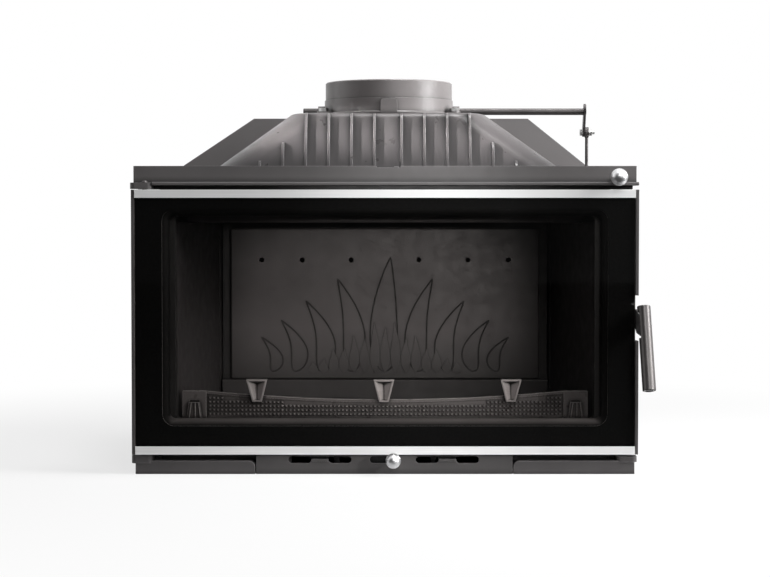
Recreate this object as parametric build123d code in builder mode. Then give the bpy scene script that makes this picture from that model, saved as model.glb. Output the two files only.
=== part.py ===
from build123d import *
import math
import os

# A cast-iron fireplace insert. +Z is up, the door faces -Y and +X is to the right seen from
# the front. The origin is on the underside of the base, midway across and midway deep.

# ---- overall sizes ---------------------------------------------------------------------
WIDTH = 740.0            # across the glass and the base
HEIGHT = 457.0           # base underside to the top of the lintel
DEPTH = 420.0            # glass face to the back of the heat shield
FRONT, REAR = -DEPTH / 2, DEPTH / 2
CLEAR = 0.3              # standing gap between pieces that move past each other
RUNNING = 0.06           # radial running fit of a pin in its bore
SCREW_FIT = 0.10         # radial gap of a screw in its hole
HEX = 0.83               # half the width of a hexagon head over its bolt's diameter
BOLT_EDGE = 0.6          # chamfer on a bolt's end

# ---- door ------------------------------------------------------------------------------
GLASS_T, GLASS_R = 4.0, 1.5
GASKET_T = 1.5
GASKET_W = 9.0
DOOR_T = 16.5            # cast frame behind the glass
DOOR_GAP = 1.0           # door frame to front frame, closed
DOOR_BOTTOM = 29.2
DOOR_TOP_GAP = 6.3       # door to lintel
DOOR_EDGE = 5.0          # side flange outside the glass
DOOR_STILE = 50.0        # glass edge to opening, sides
DOOR_SILL = 52.0         # door bottom to opening
DOOR_HEAD = 39.0         # opening to door top
DOOR_CORNER = 8.0        # rounded rear vertical edges
DOOR_R = 8.0             # opening corners
DOOR_ROUND = 10.0        # rounded front edge of the opening
ROPE_DEEP = 6.0
TRIM_SCREW, TRIM_SCREW_X = 4.0, 250.0
TRIM_T = 1.2
TRIM_H = 12.1
TRIM_GAP = 0.2
ROPE_W = 8.0
ROPE_INSET = 4.0         # opening edge to rope groove
NOTCH_BELOW, NOTCH_ABOVE = 33.2, 34.1    # handle notch in the right flange, from the pivot

# ---- front frame, base and walls -------------------------------------------------------
FACE_T = 12.0
FACE_MARGIN = 35.0       # glass edge to the side of the front frame
LINTEL_H = 29.3
LINTEL_OVER = 4.0        # lintel beyond the glass edge
LEDGE_H, LEDGE_R = 5.0, 1.2
LEDGE_OUT = 22.0
TAB_W = 36.0             # shallow notch in the lintel's top edge
TONGUE_X, TONGUE_W, TONGUE_T, TONGUE_DOWN = 13.5, 7.0, 5.0, 0.6  # small tongue standing in it
RIM_OUT = 10.0           # inner rim behind the opening
SILL_UP = 3.0            # sill above the hearth
HEAD_UP = 4.0            # frame opening above the door opening
RIM_T = 6.0
BASE_RIM_H = 28.0
BASE_RIM_T = 8.0
BASE_FLOOR_T = 8.0
BLOCK_H = 19.7
BLOCK_SETBACK = 2.0      # base front behind the glass face
BLOCK_DEPTH = 40.0
BLOCK_R = 9.0
BASE_CORNER = 6.0
COVER_FLOOR = 5.0
AIR_WINDOW = (64.0, 14.0)    # openings in the tray's front rim
TRAY_RIB_X, TRAY_RIB_T, TRAY_RIB_DOWN = 200.0, 6.0, 6.0
AIR_WINDOW_R = 3.0
EAR_LOW_Z = (16.0, 27.6)     # lower ear that carries the door
EAR_RIGHT_Z = (17.6, 25.8)   # its thinner fellow on the right
EAR_LOW_OUT = (6.0, 4.0)     # both beyond the glass edge
EAR_SETBACK = 1.0        # front of the hinge ears behind the glass face
EAR_RISE = 4.1           # upper ear above the lintel's lower edge
LINTEL_HALF = WIDTH / 2 + LINTEL_OVER
OPEN_R = 10.0
TAB_X, TAB_H = 5.5, 2.4
WALL_T = 7.0
WALL_RIB = 5.0
WALL_RIB_T = 6.0
WALL_RIB_END = 24.0
WALL_RIB_PITCH = 82.0
SPACER_D, SPACER_SCREW, SPACER_HEAD_T = 14.0, 6.0, 4.0
SPACER_IN = 45.0         # side of the body to the spacers
SPACER_LOW, SPACER_DOWN = 90.0, 67.0     # lower row above the ground, upper row below the lintel's top
SHIELD_LOW = 50.0
SHIELD_MARGIN = 30.0     # glass edge to the side of the shield
SHIELD_SHOULDER, SHIELD_RISE = 12.0, 91.0    # above the lintel's top, sides and middle
SHIELD_TOP_W, SHIELD_TOP_MID = 462.0, 10.0
ROOF_LIP = 9.0           # roof under the hood's foot
BACK_T = 8.0
SHIELD_T = 3.0
SHIELD_GAP = 9.0
ROOF_T = 8.0
ROOF_R = 30.0            # corners of the smoke opening
ROOF_STEP = 2.3          # roof above the lintel's lower edge
RIB_X = 110.0            # ribs on the back wall
SHELF = 10.0             # shelves inside the walls
SHELF_T = 6.0

CASE_SCREW, CASE_SCREW_L, CASE_HEAD, CASE_HEAD_T = 4.0, 24.0, 6.2, 3.0
CASE_HEX = 7.8           # width of the bolt heads on the back
HEAD_SINK = 0.2          # countersunk heads below the surface
SCREW_LOW, SCREW_DOWN = 32.0, 22.0       # end screws from the base rim and from the wall's top
SCREW_FRONT, SCREW_REAR = 25.0, 20.0     # end roof screws from the front frame and from the back wall

# ---- lining, hearth and baffles --------------------------------------------------------
JAMB = 58.0              # glass edge to the lining's front edge
LINING_Y = 45.0          # glass face to the lining's front edge
LINING_T = 10.0
LINING_TAPER = 7.7       # degrees that each side lining turns in
LINING_STOP = 60.0       # lining's rear edge to the back of the heat shield
LINING_GAP = 0.5
LINING_BORDER = 22.0
LINING_SUNK, LINING_R = 1.5, 6.0
FLAMES, FLAME_SHORT = 7, 0.78            # flames each side of the middle one, every other one shorter
FLAME_PITCH, FLAME_W, FLAME_H = 17.0, 15.0, 118.0
FLAME_UP, FLAME_LEAN, FLAME_RELIEF = 10.5, 5.0, 1.6
LEDGE_LEAD, LEDGE_WALL, LEDGE_NOSE = 4.0, 6.0, 3.0
BOX_T, BOX_SEAT = 6.0, 8.0
HEARTH_Z = 75.0
HEARTH_T = 8.0
GRATE_X, GRATE_Y = 280.0, 180.0
GRATE_T, GRATE_R = 5.0, 4.0
GRATE_LEDGE = 8.0
GRATE_BAR = 8.0
GRATE_SLOT, GRATE_COLS = 70.0, 15
GRATE_MID = -20.0        # depth of the grate's middle
GRATE_FIT = 0.8
PAN_FLARE = 4.0
PAN_R = 8.0
PAN_GAP = 12.0           # grate opening to ash pan, each side
PAN_T = 1.5
PAN_H = 46.0
PLATE_IN = 80.0          # face of the back lining to the back of the heat shield
PLATE_SIDE = 17.1        # edge of the back lining to the side lining
PLATE_UP, PLATE_UNDER = 38.5, 8.9        # back lining above the hearth and below the baffle
PLATE_T, PLATE_R, PLATE_EDGE = 12.0, 5.0, 2.5
PLATE_HOLES = (0.22, 0.537, 0.80)        # shares of the back lining's half width
PLATE_HOLE_DOWN, PLATE_HOLE_D = 52.9, 8.5
BAFFLE_DROP = 84.5       # underside of the lower baffle below the lintel's top
BAFFLE_T = 12.0
BAFFLE_THROAT = 150.0    # glass face to the lower baffle
BAFFLE2_DROP = 55.0
BAFFLE2_THROAT = 150.0   # upper baffle to the back of the heat shield
BAFFLE2_T, BAFFLE2_RIB_T, BAFFLE2_RIB_H = 6.0, 4.0, 8.0

# ---- log guard -------------------------------------------------------------------------
GUARD_SIDE = 65.0        # glass edge to the end of the guard
GUARD_IN = 55.0          # glass face to the middle of the guard's ends
GUARD_T = 7.0
GUARD_BOW = 9.0          # forward bow of the middle
GUARD_H = (32.0, 44.5)   # top edge above the hearth, middle and ends
GUARD_UNDER = 4.0        # lower edge above the hearth
GUARD_RIM = 4.0
FOOT_HALF = 18.0
FOOT_FRONT, FOOT_REAR, POST_HALF = 7.0, 16.0, 5.0
POST_CAP, POST_RIB, FOOT_RIB, POST_WEB = 14.0, 11.0, 7.0, 3.0    # round the hollow in each post
GUARD_BEAD = 1.2
HORN_GAP, HORN_FOOT, HORN_T = 0.6, 7.0, 2.4
HORN_MID, HORN_PITCH = -1.7, 190.5
HORN_TOP, HORN_BOTTOM = 31.0, 14.0
HORN_UP, HORN_H = 29.0, 33.8             # foot of a horn above the hearth, and its height
HORN_DEEP = 15.0

# ---- hood and flue collar --------------------------------------------------------------
HOOD_X = 4.5
HOOD_Y = 12.0
HOOD_SIDE, HOOD_END = 73.0, 46.0         # hood's foot inside the glass width and the depth
HOOD_CROWN_OVER = (97.0, 32.0)           # crown wider and deeper than the collar
HOOD_RISE = 84.0         # crown above the lintel's top
HOOD_T = 7.0
HOOD_R = (44.0, 60.0)
HOOD_CROWN_R = 13.0
HOOD_FLANGE = 10.0
HOOD_FLANGE_T = 3.0
FIN_T = 3.6
FIN_OUT = 9.0
FIN_PITCH = 34.6
FIN_SHORT = (46.0, 74.0)     # the two outer fins of each side stop short of the crown
FIN_FULL = 4
FIN_ROUND = 13.0
FIN_SUNK, FIN_TIP = 4.0, 0.8             # fin let into the wall, its tip under the crown
FIN_MIDDLE = 41.4        # wider space between the two middle fins
COLLAR_X, COLLAR_Y = 6.0, 10.0
COLLAR_D = 200.0         # spigot outside
COLLAR_WALL = 7.0
COLLAR_H = 52.0          # rim above the crown
COLLAR_STEP, STEP_H = 1.5, 24.0          # the spigot stands on this step
COLLAR_EDGE = 1.5        # chamfer of the rim
LUG_OUT, LUG_D, LUG_T = 12.0, 21.0, 5.0
LUG_ANGLES = (25, 155, 205, 335)
BOLT_D, BOLT_HEAD, BOLT_HEAD_T, BOLT_PAST = 8.0, 13.0, 5.3, 3.0
BOSS_D, BOSS_OUT = 17.0, 12.0
PAD_W, PAD_H, PAD_OUT = 25.7, 22.0, 3.5
PAD_R, PAD_SUNK = 5.0, 8.0
COLLAR_FOOT, FOOT_EDGE = 3.5, 2.0        # spread of the collar's foot and its thickness

# ---- damper ----------------------------------------------------------------------------
DAMPER_UP = 7.4          # shaft above the crown
DAMPER_GAP = 2.5         # disc to the collar's bore
DAMPER_T = 5.0
DISC_SCREW, DISC_SCREW_X = 5.0, 45.0
DISC_NOTCH = 14.0        # draught notch in the disc's rim
SHAFT_D, SHAFT_EDGE = 10.4, 0.8
SHAFT_FLAT = 4.0         # shaft axis to the flat that carries the disc
SHAFT_OVER = 35.6        # shaft beyond the collar on the left
CRANK_IN = 55.0          # crank inside the glass edge
CRANK_T = 3.5
CRANK_W = 14.0
CRANK_TAIL = 5.8         # crank beyond the shaft, away from the pin
SPIGOT_D = 7.6
NUT_T, BOLT_TAIL = 5.0, 4.5
CRANK_R = 35.4
CRANK_REST = 25.0        # degrees from straight down, to the rear
CRANK_END = 45.0         # degrees from straight down, to the front, rod pulled out
CRANK_BOLT_D, CRANK_HEAD_T = 6.0, 4.0
EYE_D = 17.0
EYE_T = 5.6
ROD_D = 5.0
KNOB_IN, KNOB_UP, KNOB_OUT = 26.0, 11.9, 14.0    # from the glass edge, lintel's foot and glass face
KNOB_D = 25.5
ROD_SLOT, ROD_SLOT_R = 9.0, 1.5
ROD_PLAY = 1.6           # slot above and below the rod's travel
ROD_BEND = 12.0
ROD_JOG = (-20.0, -60.0)     # the rod steps outward between these depths
KNOB_BORE, KNOB_FLAT = 8.0, 0.8

# ---- air inlet -------------------------------------------------------------------------
COVER_MID, COVER_W = -1.0, 380.0
COVER_H = 28.4
COVER_T, COVER_EDGE = 5.0, 0.8
SEAM = 1.6
SLOT_H = 10.6
SLOT_Z = 21.4
SLOT_W = 34.0
SLOT_X = (-126.5, -66.8, 62.4, 122.4)
MIDDLE_SLOT = (-22.8, 19.3)
BRIDGE_H = 4.2
BRIDGE_Z = 24.4
BAR_OUT, BAR_H = 1.2, 3.4
CHEEK_T = 5.0
COVER_SCREW, SCREW_IN, SCREW_Z = 4.0, 9.0, 14.0
LID_T = 1.5
SLIDER_T = 3.0
SLIDER_Z = (12.5, 26.5)
SLIDER_X = -2.0
SLIDER_WINDOW = 11.0
GUIDE_H, GUIDE_T, GUIDE_L = 2.0, 2.0, 60.0
SLIDER_HALF = 146.0
AIR_KNOB_X = 12.1
AIR_KNOB_Z = 22.4
AIR_KNOB_D = 22.5
AIR_KNOB_OUT = 22.0      # middle of the knob in front of the glass face
STEM_D = 6.0

# ---- hinge and handle ------------------------------------------------------------------
HINGE_IN = 14.0          # glass edge to the hinge axis
HINGE_BACK = 13.5        # glass face to the hinge axis
PIN_D = 8.0
PIN_HEAD_D = 10.0
PIN_HEAD_T, PIN_DOME = 3.2, 2.2
PIN_SEAT_D = 14.0        # shoulder of the lower pin, which carries the door
PIN_DEEP = 16.0          # pin inside the door
EAR_T = 9.2
EAR_IN = 26.0            # glass edge to the ear's inner end
EAR_OUT = 7.0
EAR_R = 7.0
EDGE_LAND = 0.6          # door plate beyond the glass edge
PIVOT_Z = 231.0
PIVOT_D, PIVOT_HEAD_T = 8.0, 4.8
PIVOT_DEEP = 22.0        # pivot bolt inside the door's edge
HUB_R = 13.0
KEEPER_OUT, KEEPER_H, KEEPER_DEEP, KEEPER_GAP = 30.0, 13.0, 14.0, 0.8
KEEPER_BEVEL, KEEPER_EDGE = 7.0, 2.0
LATCH_D, LATCH_SPIGOT = 10.0, 6.0
LATCH_SIDE = 18.0        # glass edge to the inner end of the latch pin
PIN_BACK, PIN_DROP = 38.0, 5.0           # latch pin behind the glass face and below the pivot
ARM_T = 8.0
ARM_DROP, ARM_RISE = 21.0, 14.0          # edges of the arm from the pivot
ARM_NECK_LOW, ARM_NECK_HIGH = 20.0, 12.0 # where those edges start in front of the pivot
LATCH_LAND, LATCH_EDGE = 3.0, 1.5
GRIP_D = 19.6
GRIP_L, GRIP_EDGE = 126.0, 1.4
GRIP_SLACK = 3.0         # slot in the grip below the arm's tongue
GRIP_HOLLOW = 12.0       # open lower end
GRIP_WALL = 3.5
ARM_REACH = 6.0          # arm's tongue beyond the grip's axis
TONGUE_DROP, TONGUE_RISE = 23.0, 5.0
CROSS_D, CROSS_DROP = 4.0, 7.0
GRIP_SIDE, GRIP_OUT, GRIP_DROP = 9.7, 52.0, 40.8     # its middle, from glass edge, glass face and pivot
GRIP_DIR = (-4.4, 32.6, 121.7)           # run of the grip from its lower end to its upper end

# ---- places worked out from the sizes above --------------------------------------------
HALF = WIDTH / 2
LINTEL_BOTTOM = HEIGHT - LINTEL_H
DOOR_TOP = LINTEL_BOTTOM - DOOR_TOP_GAP
EAR_FRONT = FRONT + EAR_SETBACK
HINGE_Y = FRONT + HINGE_BACK
COVER_X = (COVER_MID - COVER_W / 2, COVER_MID + COVER_W / 2)
GLASS_BACK = FRONT + GLASS_T
DOOR_FRONT = GLASS_BACK + GASKET_T
DOOR_BACK = DOOR_FRONT + DOOR_T
FACE_FRONT = DOOR_BACK + DOOR_GAP
FACE_BACK = FACE_FRONT + FACE_T
FACE_HALF = HALF - FACE_MARGIN
DOOR_HALF = HALF + DOOR_EDGE
OPEN_HALF = HALF - DOOR_STILE
OPEN_Z = (DOOR_BOTTOM + DOOR_SILL, DOOR_TOP - DOOR_HEAD)
JAMB_HALF = HALF - JAMB
SILL_Z, HEAD_Z = HEARTH_Z + SILL_UP, OPEN_Z[1] + HEAD_UP
TAN, COS = math.tan(math.radians(LINING_TAPER)), math.cos(math.radians(LINING_TAPER))
BACK_OUT = REAR - SHIELD_T - SHIELD_GAP
BACK_IN = BACK_OUT - BACK_T
ROOF_Z = LINTEL_BOTTOM + ROOF_STEP
WALL_TOP = ROOF_Z - ROOF_T
WALL_IN = FACE_HALF - WALL_T
HINGE_X = -HALF + HINGE_IN
PIVOT_Y = (DOOR_FRONT + DOOR_BACK) / 2
EDGE_X = HALF + EDGE_LAND
ARM_X = EDGE_X + CLEAR
TRIM_SCREWS = [(x, z) for x in (-TRIM_SCREW_X, 0, TRIM_SCREW_X)
               for z in (DOOR_TOP - TRIM_H / 2, DOOR_BOTTOM + TRIM_H / 2)]
BASE_FRONT = FRONT + BLOCK_SETBACK
NOTCH_Z = (PIVOT_Z - NOTCH_BELOW, PIVOT_Z + NOTCH_ABOVE)
FRAME_SCREW_Z = (BASE_RIM_H + SCREW_LOW, (BASE_RIM_H + WALL_TOP) / 2, WALL_TOP - SCREW_DOWN)
ROOF_SCREW_Y = (FACE_BACK + SCREW_FRONT, (FACE_BACK + BACK_IN) / 2, BACK_IN - SCREW_REAR)
SPACERS = [(x, z) for x in (SPACER_IN - FACE_HALF, FACE_HALF - SPACER_IN)
           for z in (SPACER_LOW, HEIGHT - SPACER_DOWN)]

LINING_BACK = REAR - LINING_STOP
BAFFLE_Z = HEIGHT - BAFFLE_DROP
BAFFLE2_Z = HEIGHT - BAFFLE2_DROP
BAFFLE_FRONT = FRONT + BAFFLE_THROAT
BAFFLE2_BACK = REAR - BAFFLE2_THROAT
PLATE_Y = REAR - PLATE_IN
PLATE_Z = (HEARTH_Z + PLATE_UP, BAFFLE_Z - PLATE_UNDER)
LEDGE_Y = PLATE_Y - LEDGE_LEAD
GUARD_HALF = HALF - GUARD_SIDE
GUARD_SPAN = GUARD_HALF - 2 * FOOT_HALF
GUARD_Y = FRONT + GUARD_IN
GUARD_TOP = [HEARTH_Z + height for height in GUARD_H]
HORNS = [HORN_MID + i * HORN_PITCH for i in (-1, 0, 1)]

HOOD_TOP = HEIGHT + HOOD_RISE
HOOD_FOOT = (WIDTH - 2 * HOOD_SIDE, DEPTH - 2 * HOOD_END)
HOOD_CROWN = (COLLAR_D + HOOD_CROWN_OVER[0], COLLAR_D + HOOD_CROWN_OVER[1])
COLLAR_BORE = COLLAR_D - 2 * COLLAR_WALL
LUG_R = COLLAR_D / 2 + LUG_OUT
LUGS = [(COLLAR_X + LUG_R * math.cos(math.radians(a)), COLLAR_Y + LUG_R * math.sin(math.radians(a)))
        for a in LUG_ANGLES]
DAMPER_Z = HOOD_TOP + DAMPER_UP
DAMPER_D = COLLAR_BORE - 2 * DAMPER_GAP
SHAFT_LEFT = COLLAR_X - COLLAR_D / 2 - SHAFT_OVER
CRANK_X = HALF - CRANK_IN
KNOB_X, KNOB_Y, KNOB_Z = HALF - KNOB_IN, FRONT - KNOB_OUT, LINTEL_BOTTOM + KNOB_UP
ROD_DIP = CRANK_R * (1 - math.cos(math.radians(CRANK_REST)))
ROD_RISE = CRANK_R * (math.cos(math.radians(CRANK_REST)) - math.cos(math.radians(CRANK_END)))

AIR_KNOB_Y = FRONT - AIR_KNOB_OUT
PIN_Y, PIN_Z = FRONT + PIN_BACK, PIVOT_Z - PIN_DROP
ARM_Z = (PIVOT_Z - ARM_DROP, PIVOT_Z + ARM_RISE)
TONGUE_Z = (PIVOT_Z - TONGUE_DROP, PIVOT_Z + TONGUE_RISE)
CROSS_Z = PIVOT_Z - CROSS_DROP
GRIP_MID = (HALF + GRIP_SIDE, FRONT - GRIP_OUT, PIVOT_Z - GRIP_DROP)


def half_at(y, out=0.0):
    """Half width of the tapering firebox at a depth, a distance outside the lining's face."""
    return JAMB_HALF + out / COS - (y - FRONT - LINING_Y) * TAN


def front_plane(y):
    """A drawing plane seen from the front: x is across, y is up; extrude(-t) goes rearward."""
    return Plane.XZ.offset(-y)


def slab(points, z0, z1, mode=Mode.ADD):
    """A plan outline raised from z0 to z1."""
    with BuildSketch(Plane.XY.offset(z0)) as drawn:
        with BuildLine():
            Polyline(*points, close=True)
        make_face()
    extrude(drawn.sketch, amount=z1 - z0, mode=mode)


def panel(x0, x1, z0, z1, y0, y1, mode=Mode.ADD, corner=0.0):
    """A front outline, x0..x1 by z0..z1, from depth y0 back to y1."""
    with BuildSketch(front_plane(y0)) as drawn:
        with Locations(((x0 + x1) / 2, (z0 + z1) / 2)):
            if corner:
                RectangleRounded(x1 - x0, z1 - z0, corner)
            else:
                Rectangle(x1 - x0, z1 - z0)
    extrude(drawn.sketch, amount=-(y1 - y0), mode=mode)


def rod_x(x, y, z, d, length, mode=Mode.ADD):
    """A round bar along +X from x."""
    with BuildSketch(Plane.YZ.offset(x)) as drawn:
        with Locations((y, z)):
            Circle(d / 2)
    extrude(drawn.sketch, amount=length, mode=mode)


def rod_y(x, z, y, d, length, mode=Mode.ADD):
    """A round bar rearward, along +Y, from depth y."""
    with BuildSketch(front_plane(y)) as drawn:
        with Locations((x, z)):
            Circle(d / 2)
    extrude(drawn.sketch, amount=-length, mode=mode)


def rod_z(x, y, z, d, length, mode=Mode.ADD):
    """A round bar upward from z."""
    with BuildSketch(Plane.XY.offset(z)) as drawn:
        with Locations((x, y)):
            Circle(d / 2)
    extrude(drawn.sketch, amount=length, mode=mode)


def save(built, label):
    """Name a finished piece and write it."""
    built.part.label = label
    export_step(built.part, "parts/" + label + ".step")


BOX_HALF = half_at(LINING_BACK) - LINING_GAP
PLATE_HALF = half_at(PLATE_Y) - PLATE_SIDE
WALL_MID = (FACE_HALF + WALL_IN) / 2

os.makedirs("parts", exist_ok=True)


# ---- carcass ---------------------------------------------------------------------------
def case_holes_y(y_head, head_deep, y0, length):
    """Screw holes along the depth into both walls' edges, with room for a flush head."""
    for x in (-WALL_MID, WALL_MID):
        for z in FRAME_SCREW_Z:
            rod_y(x, z, y0, CASE_SCREW + 2 * SCREW_FIT, length, Mode.SUBTRACT)
            if head_deep:
                rod_y(x, z, y_head, CASE_HEAD + 2 * SCREW_FIT, head_deep, Mode.SUBTRACT)


def front_bar(x0, x1, inner):
    """One end block of the base front, its upper inner corner rounded."""
    with BuildSketch(front_plane(BASE_FRONT)) as face:
        with Locations(((x0 + x1) / 2, BLOCK_H / 2)):
            Rectangle(x1 - x0, BLOCK_H)
        top = face.vertices().group_by(Axis.Y)[-1].sort_by(Axis.X)
        fillet(top[-1 if inner > 0 else 0], BLOCK_R)
    extrude(face.sketch, amount=-BLOCK_DEPTH)


def ear(side, z0, z1, out):
    """A flat hinge ear standing out of the front, rounded at its free corners."""
    x0, x1 = sorted((side * (HALF - EAR_IN), side * (HALF + out)))
    with BuildSketch(Plane.XY.offset(z0)) as plan:
        with Locations(((x0 + x1) / 2, (EAR_FRONT + FACE_FRONT + 2) / 2)):
            Rectangle(x1 - x0, FACE_FRONT + 2 - EAR_FRONT)
        fillet(plan.vertices().group_by(Axis.Y)[0], EAR_R)
    extrude(plan.sketch, amount=z1 - z0)


with BuildPart() as base:
    panel(-FACE_HALF, FACE_HALF, 0, BASE_RIM_H, FACE_FRONT, BACK_OUT)
    fillet(base.edges().filter_by(Axis.Z), BASE_CORNER)
    front_bar(-HALF, COVER_X[0] - SEAM, 1)
    front_bar(COVER_X[1] + SEAM, HALF, -1)
    panel(COVER_X[0] - SEAM, COVER_X[1] + SEAM, 0, COVER_FLOOR, BASE_FRONT + COVER_T, FACE_FRONT)
    # the tray is open upward
    panel(-FACE_HALF + BASE_RIM_T, FACE_HALF - BASE_RIM_T, BASE_FLOOR_T, BASE_RIM_H,
          FACE_FRONT + BASE_RIM_T, BACK_OUT - BASE_RIM_T, Mode.SUBTRACT)
    # air windows through the front rim
    with BuildSketch(front_plane(FACE_FRONT)):
        with Locations((0, (BASE_FLOOR_T + BASE_RIM_H) / 2)):
            with GridLocations(AIR_WINDOW[0] + BASE_RIM_T, 1, 4, 1):
                RectangleRounded(*AIR_WINDOW, AIR_WINDOW_R)
    extrude(amount=-BASE_RIM_T, mode=Mode.SUBTRACT)
    # stiffening ribs across the tray floor, clear of the ash pan
    for x in (-TRAY_RIB_X, TRAY_RIB_X):
        panel(x - TRAY_RIB_T / 2, x + TRAY_RIB_T / 2, BASE_FLOOR_T, BASE_RIM_H - TRAY_RIB_DOWN,
              FACE_FRONT + BASE_RIM_T, BACK_OUT - BASE_RIM_T)
    for x in (COVER_X[0] + CHEEK_T / 2, COVER_X[1] - CHEEK_T / 2):
        rod_y(x, SCREW_Z, FACE_FRONT, COVER_SCREW + 2 * SCREW_FIT, BASE_RIM_T, Mode.SUBTRACT)
    ear(-1, *EAR_LOW_Z, EAR_LOW_OUT[0])
    ear(1, *EAR_RIGHT_Z, EAR_LOW_OUT[1])
    rod_z(HINGE_X, HINGE_Y, EAR_LOW_Z[1] - PIN_DEEP, PIN_D + 2 * RUNNING, PIN_DEEP, Mode.SUBTRACT)
save(base, "base_casting")

with BuildPart() as front_frame:
    panel(-FACE_HALF, FACE_HALF, BASE_RIM_H, HEIGHT, FACE_FRONT, FACE_BACK)
    panel(-LINTEL_HALF, LINTEL_HALF, LINTEL_BOTTOM, HEIGHT, FACE_FRONT, FACE_BACK)
    # fire opening with an inner rim that carries the linings
    panel(-JAMB_HALF - RIM_T, JAMB_HALF + RIM_T, SILL_Z - RIM_T, HEAD_Z + RIM_T,
          FACE_BACK, FACE_BACK + RIM_OUT, corner=OPEN_R + RIM_T)
    panel(-JAMB_HALF, JAMB_HALF, SILL_Z, HEAD_Z, FACE_FRONT, FACE_BACK + RIM_OUT,
          Mode.SUBTRACT, OPEN_R)
    # ledge over the door
    panel(-HALF + EAR_IN, HALF + DOOR_EDGE, LINTEL_BOTTOM, LINTEL_BOTTOM + LEDGE_H,
          FACE_FRONT - LEDGE_OUT, FACE_FRONT)
    fillet(front_frame.edges().filter_by(Axis.X).sort_by(Axis.Y)[:2], LEDGE_R)
    ear(-1, LINTEL_BOTTOM + EAR_RISE - EAR_T, LINTEL_BOTTOM + EAR_RISE, EAR_OUT)
    rod_z(HINGE_X, HINGE_Y, LINTEL_BOTTOM + EAR_RISE - EAR_T, PIN_D + 2 * RUNNING, EAR_T,
          Mode.SUBTRACT)
    # upright slot for the damper rod
    rod_low = KNOB_Z - ROD_DIP - ROD_D / 2 - ROD_PLAY
    rod_high = KNOB_Z + ROD_RISE + ROD_D / 2 + ROD_PLAY
    panel(KNOB_X - ROD_SLOT / 2, KNOB_X + ROD_SLOT / 2, rod_low, rod_high, FACE_FRONT, FACE_BACK,
          Mode.SUBTRACT, ROD_SLOT_R)
    # shallow notch with a tongue in the top edge
    panel(TAB_X - TAB_W / 2, TAB_X + TAB_W / 2, HEIGHT - TAB_H, HEIGHT, FACE_FRONT, FACE_BACK,
          Mode.SUBTRACT)
    panel(TONGUE_X, TONGUE_X + TONGUE_W, HEIGHT - TAB_H, HEIGHT - TONGUE_DOWN, FACE_FRONT,
          FACE_FRONT + TONGUE_T)
    case_holes_y(FACE_FRONT, CASE_HEAD_T + 2 * HEAD_SINK, FACE_FRONT, CASE_SCREW_L + 1)
save(front_frame, "front_frame")


def side_wall(side, label):
    """A flat cast side with ribs outside and shelves for the hearth and the upper baffle."""
    x_out, x_in = side * FACE_HALF, side * WALL_IN
    with BuildPart() as wall:
        panel(min(x_out, x_in), max(x_out, x_in), BASE_RIM_H, WALL_TOP, FACE_BACK, BACK_IN)
        # ribs
        with BuildSketch(Plane.YZ.offset(x_out)) as drawn:
            with Locations(((FACE_BACK + BACK_IN) / 2, (BASE_RIM_H + WALL_TOP) / 2)):
                with GridLocations(WALL_RIB_PITCH, 1, 4, 1):
                    SlotOverall(WALL_TOP - BASE_RIM_H - 2 * WALL_RIB_END, WALL_RIB_T, rotation=90)
        extrude(drawn.sketch, amount=side * WALL_RIB)
        for z in (HEARTH_Z - HEARTH_T, BAFFLE2_Z):
            tip = side * (WALL_IN - SHELF)
            panel(min(tip, x_in), max(tip, x_in), z - SHELF_T, z, FACE_BACK + RIM_OUT, BACK_IN)
        case_holes_y(FACE_BACK, 0, FACE_FRONT, CASE_SCREW_L + 1)
        case_holes_y(BACK_OUT, 0, BACK_OUT - CASE_SCREW_L - 1, CASE_SCREW_L + 1)
        for y in ROOF_SCREW_Y:
            rod_z(side * WALL_MID, y, ROOF_Z - CASE_SCREW_L - 1, CASE_SCREW + 2 * SCREW_FIT,
                  CASE_SCREW_L, Mode.SUBTRACT)
    save(wall, label)


side_wall(-1, "side_wall_left")
side_wall(1, "side_wall_right")

with BuildPart() as back_wall:
    panel(-FACE_HALF, FACE_HALF, BASE_RIM_H, WALL_TOP, BACK_IN, BACK_OUT)
    fillet(back_wall.edges().filter_by(Axis.Z).sort_by(Axis.Y)[-2:], BASE_CORNER)
    with BuildSketch(front_plane(BACK_OUT)):
        with Locations((0, (BASE_RIM_H + WALL_TOP) / 2)):
            with GridLocations(RIB_X, 1, 5, 1):
                SlotOverall(WALL_TOP - BASE_RIM_H - 2 * WALL_RIB_END, WALL_RIB_T, rotation=90)
    extrude(amount=-WALL_RIB)
    # shelf for the hearth plate
    panel(-WALL_IN + SHELF, WALL_IN - SHELF, HEARTH_Z - HEARTH_T - SHELF_T, HEARTH_Z - HEARTH_T,
          BACK_IN - SHELF, BACK_IN)
    case_holes_y(BACK_OUT, 0, BACK_IN, BACK_T)
save(back_wall, "back_wall")

with BuildPart() as roof:
    panel(-FACE_HALF, FACE_HALF, WALL_TOP, ROOF_Z, FACE_BACK, BACK_OUT)
    fillet(roof.edges().filter_by(Axis.Z).sort_by(Axis.Y)[-2:], BASE_CORNER)
    # smoke opening under the hood
    with BuildSketch(Plane.XY.offset(WALL_TOP)):
        with Locations((HOOD_X, HOOD_Y)):
            RectangleRounded(HOOD_FOOT[0] - 2 * ROOF_LIP, HOOD_FOOT[1] - 2 * ROOF_LIP, ROOF_R)
    extrude(amount=ROOF_T, mode=Mode.SUBTRACT)
    for x in (-WALL_MID, WALL_MID):
        for y in ROOF_SCREW_Y:
            rod_z(x, y, WALL_TOP, CASE_SCREW + 2 * SCREW_FIT, ROOF_T, Mode.SUBTRACT)
            rod_z(x, y, ROOF_Z - CASE_HEAD_T - 2 * HEAD_SINK, CASE_HEAD + 2 * SCREW_FIT, CASE_HEAD_T + 1,
                  Mode.SUBTRACT)
save(roof, "top_plate")

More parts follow.
